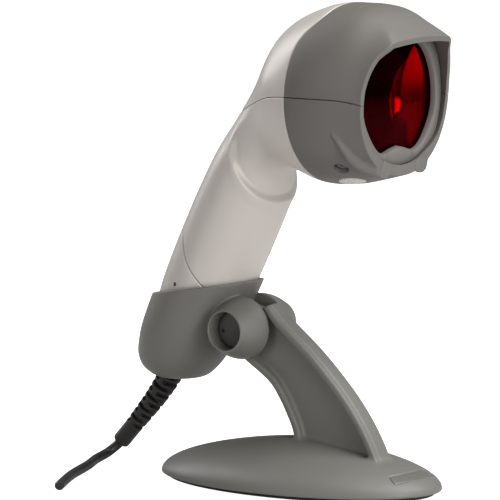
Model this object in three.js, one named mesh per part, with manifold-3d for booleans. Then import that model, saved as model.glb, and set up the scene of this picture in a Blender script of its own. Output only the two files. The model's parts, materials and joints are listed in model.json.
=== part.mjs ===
// Handheld barcode scanner standing in its tilting stand.
// Millimetres, +Z up, +X the way the scan window faces, origin on the counter
// under the middle of the stand's oval foot.

import * as THREE from 'three';
import { mergeVertices } from 'three/addons/utils/BufferGeometryUtils.js';
import Module from 'manifold-3d';

const wasm = await Module();
wasm.setup();

// ---------------------------------------------------------------- dimensions

const GAP = 0.3;                      // clearance between neighbouring pieces
const WALL = 2.4;                     // housing wall
const FAR = 200;                      // reaches past the whole object, for cutting tools

const FOOT = { length: 144, width: 86, height: 22, skin: 2.6, rim: 2.4, flare: 1.6 };
const UNDERSIDE = 1.8;                // the foot's moulding stops here, above the rubber pad
const PIVOT = { x: -27.3, z: 70 };    // tilt axis of the cradle, along Y
const KNUCKLE = { radius: 9.6, halfWidth: 5.1, bore: 3.3 };
const BARREL = { inner: 6.6, outer: 21.6, root: 14.4, lip: 9.6, recess: 8.7, floor: 11.5 };
const BOLT_RADIUS = 3;

const HANDLE_TILT = Math.atan2(0.448, 0.894);       // handle leans forward from upright
const HANDLE_AXIS = new THREE.Vector2(Math.sin(HANDLE_TILT), Math.cos(HANDLE_TILT));
const HANDLE_AT_RIM = new THREE.Vector2(-53.6, 84.6);   // handle axis at the cradle's rim
const CHIN = 3;                       // extra wall in the lip under the window
const SOCKET_BACK = -2.6;             // the cable socket sits behind the handle's axis
const WIDEST = 20;                    // X of the head's widest cross-section
const BEZEL_FRONT = 54;               // front face of the window surround

const RING_POINTS = 28;               // points round one cross-section
const RINGS = 19;                     // cross-sections along the housing

// ------------------------------------------------------------------- finishes

const finish = (color, roughness, metalness = 0) => ({ color, roughness, metalness });
const SILVER_PLASTIC = finish(0xbdb6b1, 0.42);
const DARK_PLASTIC = finish(0x66645f, 0.6);
const STAND_PLASTIC = finish(0x6d6b65, 0.6);
const BLACK_RUBBER = finish(0x191715, 0.75);
const RED_FILTER = finish(0xa80012, 0.08);
const MILKY_LENS = finish(0xe6dfd8, 0.3);
const BLACK_PLASTIC = finish(0x222222, 0.5);
const STEEL = finish(0xa6a6a6, 0.35, 1);
const MIRROR = finish(0xe8e8ee, 0.03, 1);
const BOARD_GREEN = finish(0x1f5a33, 0.5);
const BRASS = finish(0xb08d4a, 0.3, 1);

// ----------------------------------------------------------- solids and meshes

// Six times the volume that the triangles enclose; negative when they face in.
function signedVolume(positions, triangles) {
  const corner = (i) => new THREE.Vector3().fromArray(positions, 3 * i);
  return triangles.reduce((sum, [a, b, c]) => sum + corner(a).dot(corner(b).cross(corner(c))), 0);
}

// A closed geometry as a solid, with its faces turned outwards.
function solid(geometry) {
  const bare = geometry.clone();
  bare.deleteAttribute('normal');
  bare.deleteAttribute('uv');
  const welded = mergeVertices(bare, 1e-3);
  const corners = welded.index.array;
  const triangles = [];
  for (let i = 0; i < corners.length; i += 3) {
    const [a, b, c] = corners.slice(i, i + 3);
    if (a !== b && b !== c && c !== a) triangles.push([a, b, c]);
  }
  const vertProperties = new Float32Array(welded.attributes.position.array);
  const outward = signedVolume(vertProperties, triangles) > 0;
  const turned = triangles.map(([a, b, c]) => (outward ? [a, b, c] : [a, c, b]));
  const triVerts = new Uint32Array(turned.flat());
  return new wasm.Manifold(new wasm.Mesh({ numProp: 3, vertProperties, triVerts }));
}

function joined(...pieces) {
  return pieces.reduce((whole, piece) => whole.add(piece));
}

function piece(name, shape, look) {
  const { vertProperties, triVerts } = shape.getMesh();
  const geometry = new THREE.BufferGeometry();
  geometry.setAttribute('position', new THREE.BufferAttribute(vertProperties, 3));
  geometry.setIndex(new THREE.BufferAttribute(triVerts, 1));
  geometry.computeVertexNormals();
  const mesh = new THREE.Mesh(geometry, new THREE.MeshStandardMaterial(look));
  mesh.name = name;
  return mesh;
}

const point = (x, y) => new THREE.Vector2(x, y);

function smoothLine(points, divisions = 12) {
  return new THREE.SplineCurve(points.map(([x, y]) => point(x, y))).getPoints(divisions);
}

// A flat outline in the side view (X, Z), thickened in Y between y0 and y1.
function sidePrism(outline, y0, y1) {
  const shape = outline instanceof THREE.Shape ? outline : new THREE.Shape(outline);
  const geometry = new THREE.ExtrudeGeometry(shape, { depth: y1 - y0, bevelEnabled: false });
  geometry.rotateX(Math.PI / 2);
  geometry.translate(0, y1, 0);
  return solid(geometry);
}

// A flat outline in the front view (Y, Z), thickened in X between x0 and x1.
function frontPrism(outline, x0, x1) {
  const shape = outline instanceof THREE.Shape ? outline : new THREE.Shape(outline);
  const geometry = new THREE.ExtrudeGeometry(shape, { depth: x1 - x0, bevelEnabled: false });
  geometry.rotateX(Math.PI / 2);
  geometry.rotateZ(Math.PI / 2);
  geometry.translate(x0, 0, 0);
  return solid(geometry);
}

// A flat outline in the top view (X, Y), thickened in Z between z0 and z1.
function topPrism(outline, z0, z1) {
  const shape = outline instanceof THREE.Shape ? outline : new THREE.Shape(outline);
  const geometry = new THREE.ExtrudeGeometry(shape, { depth: z1 - z0, bevelEnabled: false });
  geometry.translate(0, 0, z0);
  return solid(geometry);
}

function box(size, centre, lean = 0, turn = 0) {
  const geometry = new THREE.BoxGeometry(...size);
  geometry.rotateY(lean);
  geometry.rotateZ(turn);
  geometry.translate(...centre);
  return solid(geometry);
}

// A cylinder from one point to another.
function rod(from, to, radius, sides = 18, endRadius = radius) {
  const start = new THREE.Vector3(...from);
  const along = new THREE.Vector3(...to).sub(start);
  const geometry = new THREE.CylinderGeometry(endRadius, radius, along.length(), sides);
  geometry.translate(0, along.length() / 2, 0);
  const turn = new THREE.Quaternion().setFromUnitVectors(
    new THREE.Vector3(0, 1, 0), along.clone().normalize());
  geometry.applyQuaternion(turn);
  geometry.translate(...from);
  return solid(geometry);
}

// A closed skin through rings of points that all have the same count.
function loft(rings) {
  const count = rings[0].length;
  const positions = rings.flat().flatMap((p) => [p.x, p.y, p.z]);
  const index = [];
  for (let r = 0; r + 1 < rings.length; r += 1) {
    for (let i = 0; i < count; i += 1) {
      const here = r * count + i;
      const next = r * count + (i + 1) % count;
      index.push(here, next, next + count, here, next + count, here + count);
    }
  }
  const last = (rings.length - 1) * count;
  for (let i = 1; i + 1 < count; i += 1) {
    index.push(0, i + 1, i, last, last + i, last + i + 1);
  }
  const geometry = new THREE.BufferGeometry();
  geometry.setAttribute('position', new THREE.Float32BufferAttribute(positions, 3));
  geometry.setIndex(index);
  return solid(geometry);
}

// One cross-section ring. `back` and `front` are its two ends in the side view,
// and a squareness of 2 makes it an ellipse; more makes it squarer.
function ring(back, front, halfWidth, squareness = 2, count = RING_POINTS) {
  const middle = back.clone().add(front).multiplyScalar(0.5);
  const arm = back.clone().sub(middle);
  const bulge = (value) => Math.sign(value) * Math.abs(value) ** (2 / squareness);
  return Array.from({ length: count }, (_, i) => {
    const angle = (2 * Math.PI * i) / count;
    const along = bulge(Math.cos(angle));
    return new THREE.Vector3(
      middle.x + arm.x * along,
      halfWidth * bulge(Math.sin(angle)),
      middle.y + arm.y * along);
  });
}

// -------------------------------------------------------------- housing shape

// A cross-section square to the handle's axis, `up` millimetres above the rim.
function handleSection(up, halfDepth, halfWidth) {
  const centre = HANDLE_AXIS.clone().multiplyScalar(up).add(HANDLE_AT_RIM);
  const out = point(HANDLE_AXIS.y, -HANDLE_AXIS.x).multiplyScalar(halfDepth);
  return { back: centre.clone().sub(out), front: centre.clone().add(out), halfWidth, squareness: 2 };
}

const section = (back, front, halfWidth, squareness = 2) => (
  { back: point(...back), front: point(...front), halfWidth, squareness });

// The handle from its bottom end: height up its axis, half depth, half width.
const HANDLE = [
  [-27, 14.6, 17.6],
  [-14, 17.4, 20.2],
  [0, 19.3, 22],
  [24, 20.1, 22.4],
  [46, 19.8, 22.8],
];

// From the bottom of the handle, round the neck and out to the window.
const HOUSING = [
  ...HANDLE.map((sizes) => handleSection(...sizes)),
  section([-39.5, 153.5], [-9.5, 130.5], 23.3),
  section([-27.8, 168.5], [-7.5, 140], 23.7),
  section([-14.4, 187.4], [-2.5, 144.4], 26),
  section([-0.2, 209.6], [9, 142], 34.6),
  section([WIDEST, 219.4], [WIDEST, 139], 41),
  section([34, 221.4], [34, 139.4], 41, 2.08),
  section([46, 221.6], [46, 142], 38, 2.15),
  section([57, 216.4], [57, 144.8], 34.6, 2.15),
  section([68, 212], [68, 146.6], 34, 2.15),
];

// Cross-sections at even steps along smooth lines through the given ones.
function alongSections(sections, count) {
  const back = new THREE.SplineCurve(sections.map((s) => s.back));
  const front = new THREE.SplineCurve(sections.map((s) => s.front));
  const girth = new THREE.SplineCurve(sections.map((s) => point(s.halfWidth, s.squareness)));
  return Array.from({ length: count }, (_, i) => {
    const t = i / (count - 1);
    const size = girth.getPoint(t);
    return { back: back.getPoint(t), front: front.getPoint(t), halfWidth: size.x, squareness: size.y };
  });
}

// The flat roof over the window, falling to the visor's edge.
const ROOF = smoothLine([
  [WIDEST, 227], [30, 225], [38, 222.8], [46, 219.8], [52, 216.8], [57, 213.3], [62, 209.6],
  [66.5, 206], [71, 202]], 16);

// Everything higher than `drop` millimetres below the roof.
function aboveRoof(drop) {
  const roof = ROOF.map((p) => point(p.x, p.y - drop));
  return sidePrism([...roof, point(71, FAR * 2), point(WIDEST, FAR * 2)], -FAR, FAR);
}

// The housing's outer shape, `inset` millimetres inside it all round.
function housingShape(inset, chin = CHIN) {
  const lipStart = 30;
  const lipFull = 54;
  const rings = alongSections(HOUSING, RINGS).map(({ back, front, halfWidth, squareness }) => {
    const inward = front.clone().sub(back).normalize();
    const lip = chin * Math.max(0, (back.x - lipStart) / (lipFull - lipStart)) ** 2;
    back.addScaledVector(inward, inset);
    front.addScaledVector(inward, -inset - lip);
    return ring(back, front, halfWidth - inset, squareness);
  });
  return loft(rings).subtract(aboveRoof(inset));
}

const housingOutside = housingShape(0, 0);
const cavity = housingShape(WALL).subtract(
  box([40, 60, 3 + WALL], handlePoint(-27, 0, 0), HANDLE_TILT));
const housing = housingOutside.subtract(cavity);

// A point by its distance up the handle's axis, forward of it, and to the left.
function handlePoint(up, forward = 0, left = 0) {
  const p = HANDLE_AXIS.clone().multiplyScalar(up).add(HANDLE_AT_RIM);
  p.addScaledVector(point(HANDLE_AXIS.y, -HANDLE_AXIS.x), forward);
  return [p.x, left, p.y];
}

const PARTING = smoothLine([
  [-48, 157], [-32, 166.5], [-19, 171], [-8, 175], [5, 179], [19, 180.6],
  [40, 180.6], [50, 179.8], [60, 177.5], [76, 173]], 20);

// Where the dark bumpers meet the light housing.
const BUMPER_SEAM = smoothLine([
  [19.6, 120], [19.6, 150], [19.6, 185], [20, 199], [21, 205], [23.2, 209.5], [25.6, 213],
  [27.6, 217], [28.6, 224]], 20);

// The front end of the bumpers: the rim round the window and the visor over it.
const FRONT_EDGE = smoothLine([
  [55.6, 136], [56, 161], [57, 180], [58.2, 188.6], [61.2, 199], [65.6, 205.2], [68.5, 214]], 12);

// The parting line's side of the housing that is above it, or below it.
function besideParting(upDown) {
  const line = PARTING.map((p) => point(p.x, p.y + upDown * GAP / 2));
  const first = line[0];
  const last = line[line.length - 1];
  const far = upDown > 0 ? 2 * FAR : 0;
  const outline = [
    ...line, point(last.x, far), point(-FAR, far), point(-FAR, first.y)];
  return sidePrism(outline, -FAR, FAR);
}

function shiftedSeam(shift) {
  return BUMPER_SEAM.map((p) => point(p.x + shift, p.y));
}

const aboveParting = besideParting(1);
const belowParting = besideParting(-1);
const behindSeam = sidePrism(
  [...shiftedSeam(-GAP / 2), point(28.4, FAR * 2), point(-FAR, FAR * 2), point(-FAR, 0), point(19.4, 0)],
  -FAR, FAR);
const aheadOfSeam = sidePrism(
  [...FRONT_EDGE, point(68.5, 230), point(28.8, 230), ...shiftedSeam(GAP / 2).reverse()],
  -FAR, FAR);

// The back cover starts under the neck and runs down into the cradle.
function backCoverRegion(grow) {
  const seam = smoothLine([
    [-78, 114], [-60, 114.6], [-53.5, 112.2], [-51, 107.2], [-48.1, 99.9], [-43, 92],
    [-40.2, 88.1]], 12).map((p) => point(p.x + grow, p.y + grow));
  const [footX, , footZ] = handlePoint(-40, 10);
  const outline = [
    ...seam, point(footX + grow, footZ), point(-120, footZ), point(-120, 114)];
  return sidePrism(outline, -FAR, FAR);
}

// ----------------------------------------------------------- scanner housing

const CHIN_SCREW = { x: 39.4, y: 24.8, z: 148.7, head: 3.3, recess: 3.75, thread: 1.3 };
const CHIN_SCREW_OUT = new THREE.Vector3(0.14, 0.6, -0.79).normalize();

function chinScrewPoint(side, depth) {
  const out = CHIN_SCREW_OUT;
  return [
    CHIN_SCREW.x - out.x * depth,
    side * (CHIN_SCREW.y - out.y * depth),
    CHIN_SCREW.z - out.z * depth];
}

function chinScrewHole(side) {
  return rod(chinScrewPoint(side, 3), chinScrewPoint(side, -8), CHIN_SCREW.recess)
    .add(rod(chinScrewPoint(side, 10), chinScrewPoint(side, 0), CHIN_SCREW.thread + GAP, 12));
}

function chinScrewBoss(side, grow = 0) {
  return rod(chinScrewPoint(side, 7 + grow), chinScrewPoint(side, 2), 5 + grow, 20);
}

// A raised ridge that starts thin on the cheek and runs into the chin.
function whisker(side) {
  const path = new THREE.CatmullRomCurve3([
    new THREE.Vector3(37.5, side * 35, 165), new THREE.Vector3(44.5, side * 31.4, 158.5),
    new THREE.Vector3(50.5, side * 26.4, 152), new THREE.Vector3(54.6, side * 20, 147.6),
    new THREE.Vector3(57, side * 13, 147.4)]);
  return tube(path, (t) => 0.8 + 3 * Math.sin(t * 2.1), 8, 8);
}

const LED_LENS = { x: 36.3, y: 11.3, radius: 6.3 };

function ledLensRegion(side, grow) {
  const { x, y, radius } = LED_LENS;
  return rod([x, side * y, 130], [x, side * y, 150], radius + grow, 28);
}

const MODE_BUTTON = { up: 66, radius: 6 };

function modeButtonRod(radius, depth, proud) {
  const { up } = MODE_BUTTON;
  return rod(handlePoint(up, -19 + depth), handlePoint(up, -23 - proud), radius, 20);
}

const pinHole = rod([-55.2, -FAR, 89.3], [-55.2, 0, 89.3], 0.9, 10);

const socketHole = box([9.4, 13.4, 20], handlePoint(-27, SOCKET_BACK), HANDLE_TILT);

const headTopShell = housing.intersect(aboveParting).intersect(behindSeam);

const headTopBumper = housing.intersect(aboveParting).intersect(aheadOfSeam);

const handleShell = housing
  .intersect(belowParting)
  .intersect(behindSeam)
  .subtract(backCoverRegion(GAP))
  .subtract(socketHole)
  .subtract(modeButtonRod(MODE_BUTTON.radius + GAP, 12, 12));

const handleBackCover = housing
  .intersect(backCoverRegion(0))
  .subtract(socketHole)
  .subtract(pinHole);

const lowerFront = housing.intersect(belowParting).intersect(aheadOfSeam);

const headBottomBumper = joined(
  lowerFront,
  joined(whisker(1), whisker(-1)).subtract(cavity),
  chinScrewBoss(1).intersect(housingOutside),
  chinScrewBoss(-1).intersect(housingOutside))
  .subtract(joined(chinScrewHole(1), chinScrewHole(-1)))
  .subtract(ledLensRegion(1, GAP).add(ledLensRegion(-1, GAP)));

const ledLens = (side) => lowerFront.intersect(ledLensRegion(side, 0));

function chinScrew(side) {
  return rod(chinScrewPoint(side, 2.7), chinScrewPoint(side, 1), CHIN_SCREW.head, 20)
    .add(rod(chinScrewPoint(side, 6.5), chinScrewPoint(side, 2.5), CHIN_SCREW.thread, 12));
}

const modeButton = housingOutside
  .intersect(modeButtonRod(MODE_BUTTON.radius, 4, 12))
  .add(modeButtonRod(MODE_BUTTON.radius - 1, 5, -6).intersect(housingOutside));

// ------------------------------------------------------------- window and frame

// Half of the window's outline, from its bottom middle to its top middle.
const WINDOW_HALF = [
  [0, 157.3], [6, 156.2], [12, 154.9], [17.5, 157.3], [23, 163.5], [27.3, 171.5],
  [28.3, 180], [26.5, 190], [21, 199.5], [11, 206], [0, 207.5]];

function windowOutline(grow) {
  const half = smoothLine(WINDOW_HALF, 24);
  const centre = point(0, 180);
  const moved = half.map((p) => {
    const away = p.clone().sub(centre).normalize();
    return p.clone().addScaledVector(away, grow);
  });
  const other = moved.slice(1, -1).reverse().map((p) => point(-p.x, p.y));
  return [...moved, ...other];
}

const bezel = box([2.4, 100, 100], [BEZEL_FRONT - 1.2, 0, 180])
  .intersect(housingShape(WALL + GAP))
  .subtract(frontPrism(windowOutline(0), BEZEL_FRONT - 10, BEZEL_FRONT + 5));

const scanWindow = frontPrism(windowOutline(1.2), BEZEL_FRONT - 4.6, BEZEL_FRONT - 2.7);

const windowGasket = frontPrism(windowOutline(1.2), BEZEL_FRONT - 6.4, BEZEL_FRONT - 4.9)
  .subtract(frontPrism(windowOutline(-1.4), BEZEL_FRONT - 10, BEZEL_FRONT));

// ---------------------------------------------------------------- scan engine

const ENGINE_FLOOR = 149;
const POLYGON = { x: 13, radius: 12, bottom: 166, height: 8, sides: 8, shaft: 2 };

const opticsChassis = box([46, 80, 2.4], [20, 0, ENGINE_FLOOR])
  .add(box([2.4, 80, 50], [-2.6, 0, ENGINE_FLOOR + 24]))
  .intersect(housingShape(WALL + 1.4))
  .subtract(joined(chinScrewBoss(1, 2 * GAP), chinScrewBoss(-1, 2 * GAP)));

// A cylinder on the polygon's axis, between two heights.
function onPolygonAxis(from, to, radius, sides, endRadius) {
  return rod([POLYGON.x, 0, from], [POLYGON.x, 0, to], radius, sides, endRadius);
}

const POLYGON_TOP = POLYGON.bottom + POLYGON.height;
const polygonMotor = onPolygonAxis(ENGINE_FLOOR + 1.5, POLYGON.bottom - 1.5, 9.5, 24)
  .add(onPolygonAxis(ENGINE_FLOOR + 4, POLYGON_TOP + 1, POLYGON.shaft, 16));

const polygonMirror = onPolygonAxis(
  POLYGON.bottom, POLYGON_TOP, POLYGON.radius, POLYGON.sides, POLYGON.radius - 1.4)
  .subtract(onPolygonAxis(POLYGON.bottom - 1, POLYGON_TOP + 1, POLYGON.shaft + GAP, 16));

function patternMirror(angle, height, tall, lean) {
  const reach = 25;
  const geometry = new THREE.BoxGeometry(1.6, 14, tall);
  geometry.rotateY(lean);
  geometry.translate(reach, 0, 0);
  geometry.rotateZ(angle);
  geometry.translate(POLYGON.x + 4, 0, height);
  return solid(geometry);
}

const patternMirrors = {
  pattern_mirror_left_low: patternMirror(1.15, 163, 14, -0.2),
  pattern_mirror_left_high: patternMirror(1.0, 182, 18, -0.35),
  pattern_mirror_right_low: patternMirror(-1.15, 163, 14, -0.2),
  pattern_mirror_right_high: patternMirror(-1.0, 182, 18, -0.35),
};

const topMirror = box([16, 24, 1.6], [18, 0, 206], 0.5);

const collectionMirror = rod([3.5, 0, 190], [6, 0, 190], 13, 24).subtract(
  solid(new THREE.SphereGeometry(40, 32, 20).translate(44.6, 0, 190)));

const laserModule = rod([3, -18, 158], [15, -18, 162], 3.4, 20);
const photodetector = box([4, 7, 7], [8, 17, 161]);

// ---------------------------------------------------------------- electronics

const mainBoard = box([1.6, 26, 90], handlePoint(31, 6), HANDLE_TILT);
const speaker = rod(handlePoint(38, -6), handlePoint(38, -2), 8, 24);
const buttonSwitch = box([4, 6, 6], handlePoint(66, -10.8), HANDLE_TILT);
const interfaceSocket = box([12.4, 17, 13], handlePoint(-10, SOCKET_BACK), HANDLE_TILT)
  .subtract(box([8.6, 12.2, 20], handlePoint(-18, SOCKET_BACK), HANDLE_TILT));
const magnetSensorBoard = box([6, 9, 1.4], handlePoint(-21.4, 8.6), HANDLE_TILT);
const cablePlug = box([7.6, 11.4, 17], handlePoint(-19.8, SOCKET_BACK), HANDLE_TILT);

function shellScrew(up, left) {
  return rod(handlePoint(up, -11, left), handlePoint(up, 2, left), 1.3, 8)
    .add(rod(handlePoint(up, -12, left), handlePoint(up, -10.4, left), 2.2, 12));
}

// ------------------------------------------------------------- cable and boot

const BOOT_CURVE = new THREE.CatmullRomCurve3([
  new THREE.Vector3(-71.8, 0, 47), new THREE.Vector3(-79.5, 0, 35.2),
  new THREE.Vector3(-88.4, -0.5, 24.6), new THREE.Vector3(-98.4, -1, 13.4),
  new THREE.Vector3(-101.6, -1.3, 10)]);
const BOOT = { top: 6.6, tip: 4 };
const CABLE_RADIUS = 2.25;
const CABLE_CURVE = new THREE.CatmullRomCurve3([
  new THREE.Vector3(-102.4, -1.7, 8.9), new THREE.Vector3(-105.6, -6.4, 5),
  new THREE.Vector3(-104.6, -17, 3.2), new THREE.Vector3(-98.2, -31, 2.9),
  new THREE.Vector3(-87.5, -57.4, 2.9), new THREE.Vector3(-74.4, -83, 2.9)]);

function tube(curve, radiusAt, steps, sides) {
  const frames = curve.computeFrenetFrames(steps, false);
  return loft(Array.from({ length: steps + 1 }, (_, i) => {
    const centre = curve.getPointAt(i / steps);
    return Array.from({ length: sides }, (__, j) => {
      const angle = (2 * Math.PI * j) / sides;
      const radius = radiusAt(i / steps);
      return centre.clone()
        .addScaledVector(frames.normals[i], radius * Math.cos(angle))
        .addScaledVector(frames.binormals[i], radius * Math.sin(angle));
    });
  }));
}

const bootCollar = rod(
  handlePoint(-30, SOCKET_BACK), BOOT_CURVE.getPoint(0.06).toArray(), BOOT.top - 0.3, 16);
const cableBoot = tube(BOOT_CURVE, (t) => BOOT.top + (BOOT.tip - BOOT.top) * t, 8, 16).add(bootCollar);
const cable = tube(CABLE_CURVE, () => CABLE_RADIUS, 14, 10);

// --------------------------------------------------------------------- cradle

const CUP_RIM = smoothLine([
  [-90, 79.5], [-82, 81.3], [-74, 83.2], [-62.5, 85.7], [-46, 88.2], [-37, 89.4], [-28, 90.8],
  [-20, 92.4]], 12);

// A level cross-section of the cup.
function cupSection(z, centre, halfDepth, halfWidth) {
  return ring(point(centre - halfDepth, z), point(centre + halfDepth, z), halfWidth, 2);
}

const cupOutside = loft([
  cupSection(43, -67, 7, 8),
  cupSection(44.4, -67.2, 12, 13),
  cupSection(48.4, -67.6, 17.2, 17.6),
  cupSection(54.5, -66.2, 20.6, 21.2),
  cupSection(62, -63.2, 22.4, 23.4),
  cupSection(70, -59.8, 23.4, 24.5),
  cupSection(82, -54.3, 23.8, 24.9),
  cupSection(95, -48, 24.2, 25)]);

// The well of the cradle follows the handle's lower end with a little room.
const WELL_ROOM = 0.7;

function handleWell() {
  const sections = HANDLE.slice(0, 4).map(([up, halfDepth, halfWidth]) => (
    handleSection(up - WELL_ROOM, halfDepth + WELL_ROOM, halfWidth + WELL_ROOM)));
  return loft(alongSections(sections, 6).map((s) => ring(s.back, s.front, s.halfWidth)));
}

// The cable leaves through the floor, and the opening runs up the back of the
// cup so that the boot can follow the scanner when it is lifted out.
function cableOpening() {
  const outline = [
    point(-61.5, 64), point(-61.5, 30), point(-110, 30), point(-110, 48),
    point(-90, 60), point(-80, 64)];
  return sidePrism(outline, -7.4, 7.4);
}

function barrel(side) {
  const { inner, outer, root, lip, recess, floor } = BARREL;
  const length = outer - inner;
  const skin = Array.from({ length: 6 }, (_, i) => {
    const along = i / 5;
    const swell = Math.cos(along * Math.PI / 2) ** 1.1;
    return point(lip + (root - lip) * swell, inner + length * along);
  });
  const outline = [
    point(BOLT_RADIUS + GAP, inner), ...skin, point(recess, outer), point(recess, floor),
    point(BOLT_RADIUS + GAP, floor), point(BOLT_RADIUS + GAP, inner)];
  return onPivot(new THREE.LatheGeometry(outline, 26), side);
}

// Turns a shape lathed about Y to the right (-1) or left (+1) of the pivot.
function onPivot(geometry, side) {
  if (side < 0) geometry.rotateX(Math.PI);
  geometry.translate(PIVOT.x, 0, PIVOT.z);
  return solid(geometry);
}

function barrelRoots() {
  const outline = [
    point(PIVOT.x, PIVOT.z + 13), point(PIVOT.x - 20, PIVOT.z + 14),
    point(PIVOT.x - 24, PIVOT.z - 10), point(PIVOT.x, PIVOT.z - 13)];
  const bore = rod([PIVOT.x, -FAR, PIVOT.z], [PIVOT.x, FAR, PIVOT.z], BARREL.recess, 26);
  const left = sidePrism(outline, BARREL.inner, 14.5);
  const right = sidePrism(outline, -14.5, -BARREL.inner);
  return joined(left, right).subtract(bore);
}

const knuckleSlot = rod(
  [PIVOT.x, -BARREL.inner, PIVOT.z], [PIVOT.x, BARREL.inner, PIVOT.z], KNUCKLE.radius + 0.9, 28);

const magnetPocket = rod(handlePoint(-26, 8.4), handlePoint(-32.4, 8.4), 4.3, 20);

const belowRim = sidePrism(
  [point(-110, 20), point(-10, 20), ...[...CUP_RIM].reverse(), point(-110, 79)], -FAR, FAR);

const cradleCup = joined(cupOutside, barrelRoots())
  .intersect(belowRim)
  .subtract(knuckleSlot)
  .subtract(handleWell())
  .subtract(cableOpening())
  .subtract(magnetPocket)
  .add(barrel(1).add(barrel(-1)).subtract(handleWell()));

const CAP = {
  inner: BARREL.floor + 0.6, outer: BARREL.floor + 3, holeCircle: 5.6, hole: 0.9, turn: 1.22 };
const boltEnd = CAP.inner - GAP;
const pivotBolt = rod(
  [PIVOT.x, -boltEnd, PIVOT.z], [PIVOT.x, boltEnd, PIVOT.z], BOLT_RADIUS, 18);

function pivotCap(side) {
  const at = (y, x = PIVOT.x, z = PIVOT.z) => [x, side * y, z];
  const disc = rod(at(CAP.inner), at(CAP.outer), BARREL.recess - GAP, 24);
  const holes = [0, 1, 2].map((i) => {
    const angle = CAP.turn + i * (2 * Math.PI / 3);
    const x = PIVOT.x + CAP.holeCircle * Math.cos(angle);
    const z = PIVOT.z + CAP.holeCircle * Math.sin(angle);
    return rod(at(CAP.outer - 1.4, x, z), at(CAP.outer + 1, x, z), CAP.hole, 8);
  });
  return disc.subtract(joined(...holes));
}

const WASHER = { radius: 8.6, bore: BOLT_RADIUS + 0.4, thickness: 0.8 };

// A washer whose lower face in Y is at `y`.
function washer(y) {
  const { radius, bore, thickness } = WASHER;
  return rod([PIVOT.x, y, PIVOT.z], [PIVOT.x, y + thickness, PIVOT.z], radius, 24)
    .subtract(rod([PIVOT.x, y - 1, PIVOT.z], [PIVOT.x, y + thickness + 1, PIVOT.z], bore, 18));
}

const leftWasher = washer(KNUCKLE.halfWidth + GAP);
const rightWasher = washer(-KNUCKLE.halfWidth - GAP - WASHER.thickness);

const cradleMagnet = rod(handlePoint(-28.4, 8.4), handlePoint(-32.1, 8.4), 4, 20);

// ---------------------------------------------------------------------- stand

const ARM_FRONT = smoothLine([
  [-14.4, 81], [-8, 74.2], [7.2, 62.4], [19.4, 51.3], [29.4, 40.8], [37.8, 29.8], [43.8, 19.5],
  [47.6, 11]], 12);
const ARM_REAR = smoothLine([
  [2.5, 11], [-0.4, 24.4], [-3.6, 31.5], [-8, 39.1], [-14.2, 46.6], [-27.2, 55]], 10);
const ARM = { halfWidth: 6, flange: 3.4, web: 2 };

// A strip of the given thickness along one side of a line.
function strip(line, thickness) {
  const inner = line.map((p, i) => {
    const before = line[Math.max(0, i - 1)];
    const after = line[Math.min(line.length - 1, i + 1)];
    const along = after.clone().sub(before).normalize();
    return point(p.x + along.y * thickness, p.y - along.x * thickness);
  });
  return [...line, ...inner.reverse()];
}

function arm() {
  const outline = [
    ...ARM_FRONT, ...ARM_REAR, point(PIVOT.x, PIVOT.z - 6), point(PIVOT.x, PIVOT.z + 6)];
  const web = sidePrism(outline, -ARM.web, ARM.web);
  const flanges = joined(
    sidePrism(strip(ARM_FRONT, ARM.flange), -ARM.halfWidth, ARM.halfWidth),
    sidePrism(strip(ARM_REAR, ARM.flange), -ARM.halfWidth, ARM.halfWidth));
  const knuckle = rod(
    [PIVOT.x, -KNUCKLE.halfWidth, PIVOT.z], [PIVOT.x, KNUCKLE.halfWidth, PIVOT.z],
    KNUCKLE.radius, 28);
  const bore = rod([PIVOT.x, -FAR, PIVOT.z], [PIVOT.x, FAR, PIVOT.z], KNUCKLE.bore, 24);
  return joined(web, flanges, knuckle).subtract(bore);
}

// The foot's skin: `inset` millimetres inside its outer surface.
function domeSolid(inset, bottom) {
  const { length, height, rim, flare } = FOOT;
  const radius = length / 2 - inset;
  const rise = height - rim - inset;
  const steps = 8;
  const sides = 40;
  const arc = Array.from({ length: steps + 1 }, (_, i) => {
    const angle = (Math.PI / 2) * (i / steps);
    return point(radius * Math.cos(angle) ** flare, rim + rise * Math.sin(angle));
  });
  const outline = [
    point(0, bottom), point(radius - 1, bottom), ...arc.slice(0, -1), point(0, rim + rise)];
  const geometry = new THREE.LatheGeometry(outline, sides);
  geometry.rotateX(Math.PI / 2);
  geometry.scale(1, (FOOT.width / 2 - inset) / radius, 1);
  return solid(geometry);
}

function oval(scale) {
  const outline = new THREE.Shape();
  outline.absellipse(0, 0, (FOOT.length / 2) * scale, (FOOT.width / 2) * scale, 0, 2 * Math.PI);
  return outline.getPoints(20).slice(0, -1);
}

const PLATE_SCREWS = [[40, 20], [40, -20], [-40, 20], [-40, -20]];

function screwPost([x, y]) {
  return rod([x, y, UNDERSIDE + 2.2], [x, y, 12], 3.6, 12);
}

const BADGE = { centre: 25, inner: 35, outer: 40.4, halfAngle: 0.39, sunk: 1.1, step: 0.35 };

function badgeRegion(grow, bottom) {
  const { centre, inner, outer, halfAngle } = BADGE;
  const half = halfAngle + grow / inner;
  const outline = new THREE.Shape();
  outline.absarc(centre, 0, outer + grow, -half, half, false);
  outline.absarc(centre, 0, inner - grow, half, -half, true);
  return topPrism(outline.getPoints(8), bottom, 30);
}

const footOutside = domeSolid(0, UNDERSIDE);
const footInside = domeSolid(FOOT.skin, UNDERSIDE - 1);
const posts = joined(...PLATE_SCREWS.map(screwPost)).intersect(footOutside);
const screwHoles = joined(...PLATE_SCREWS.map(([x, y]) => rod([x, y, 0], [x, y, 9], 1.7, 12)));
const badgeSunk = badgeRegion(GAP, 0).intersect(footOutside)
  .subtract(domeSolid(BADGE.sunk, UNDERSIDE - 1));

const standBody = joined(
  footOutside.subtract(footInside),
  arm().subtract(footInside),
  posts).subtract(screwHoles).subtract(badgeSunk);

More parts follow.
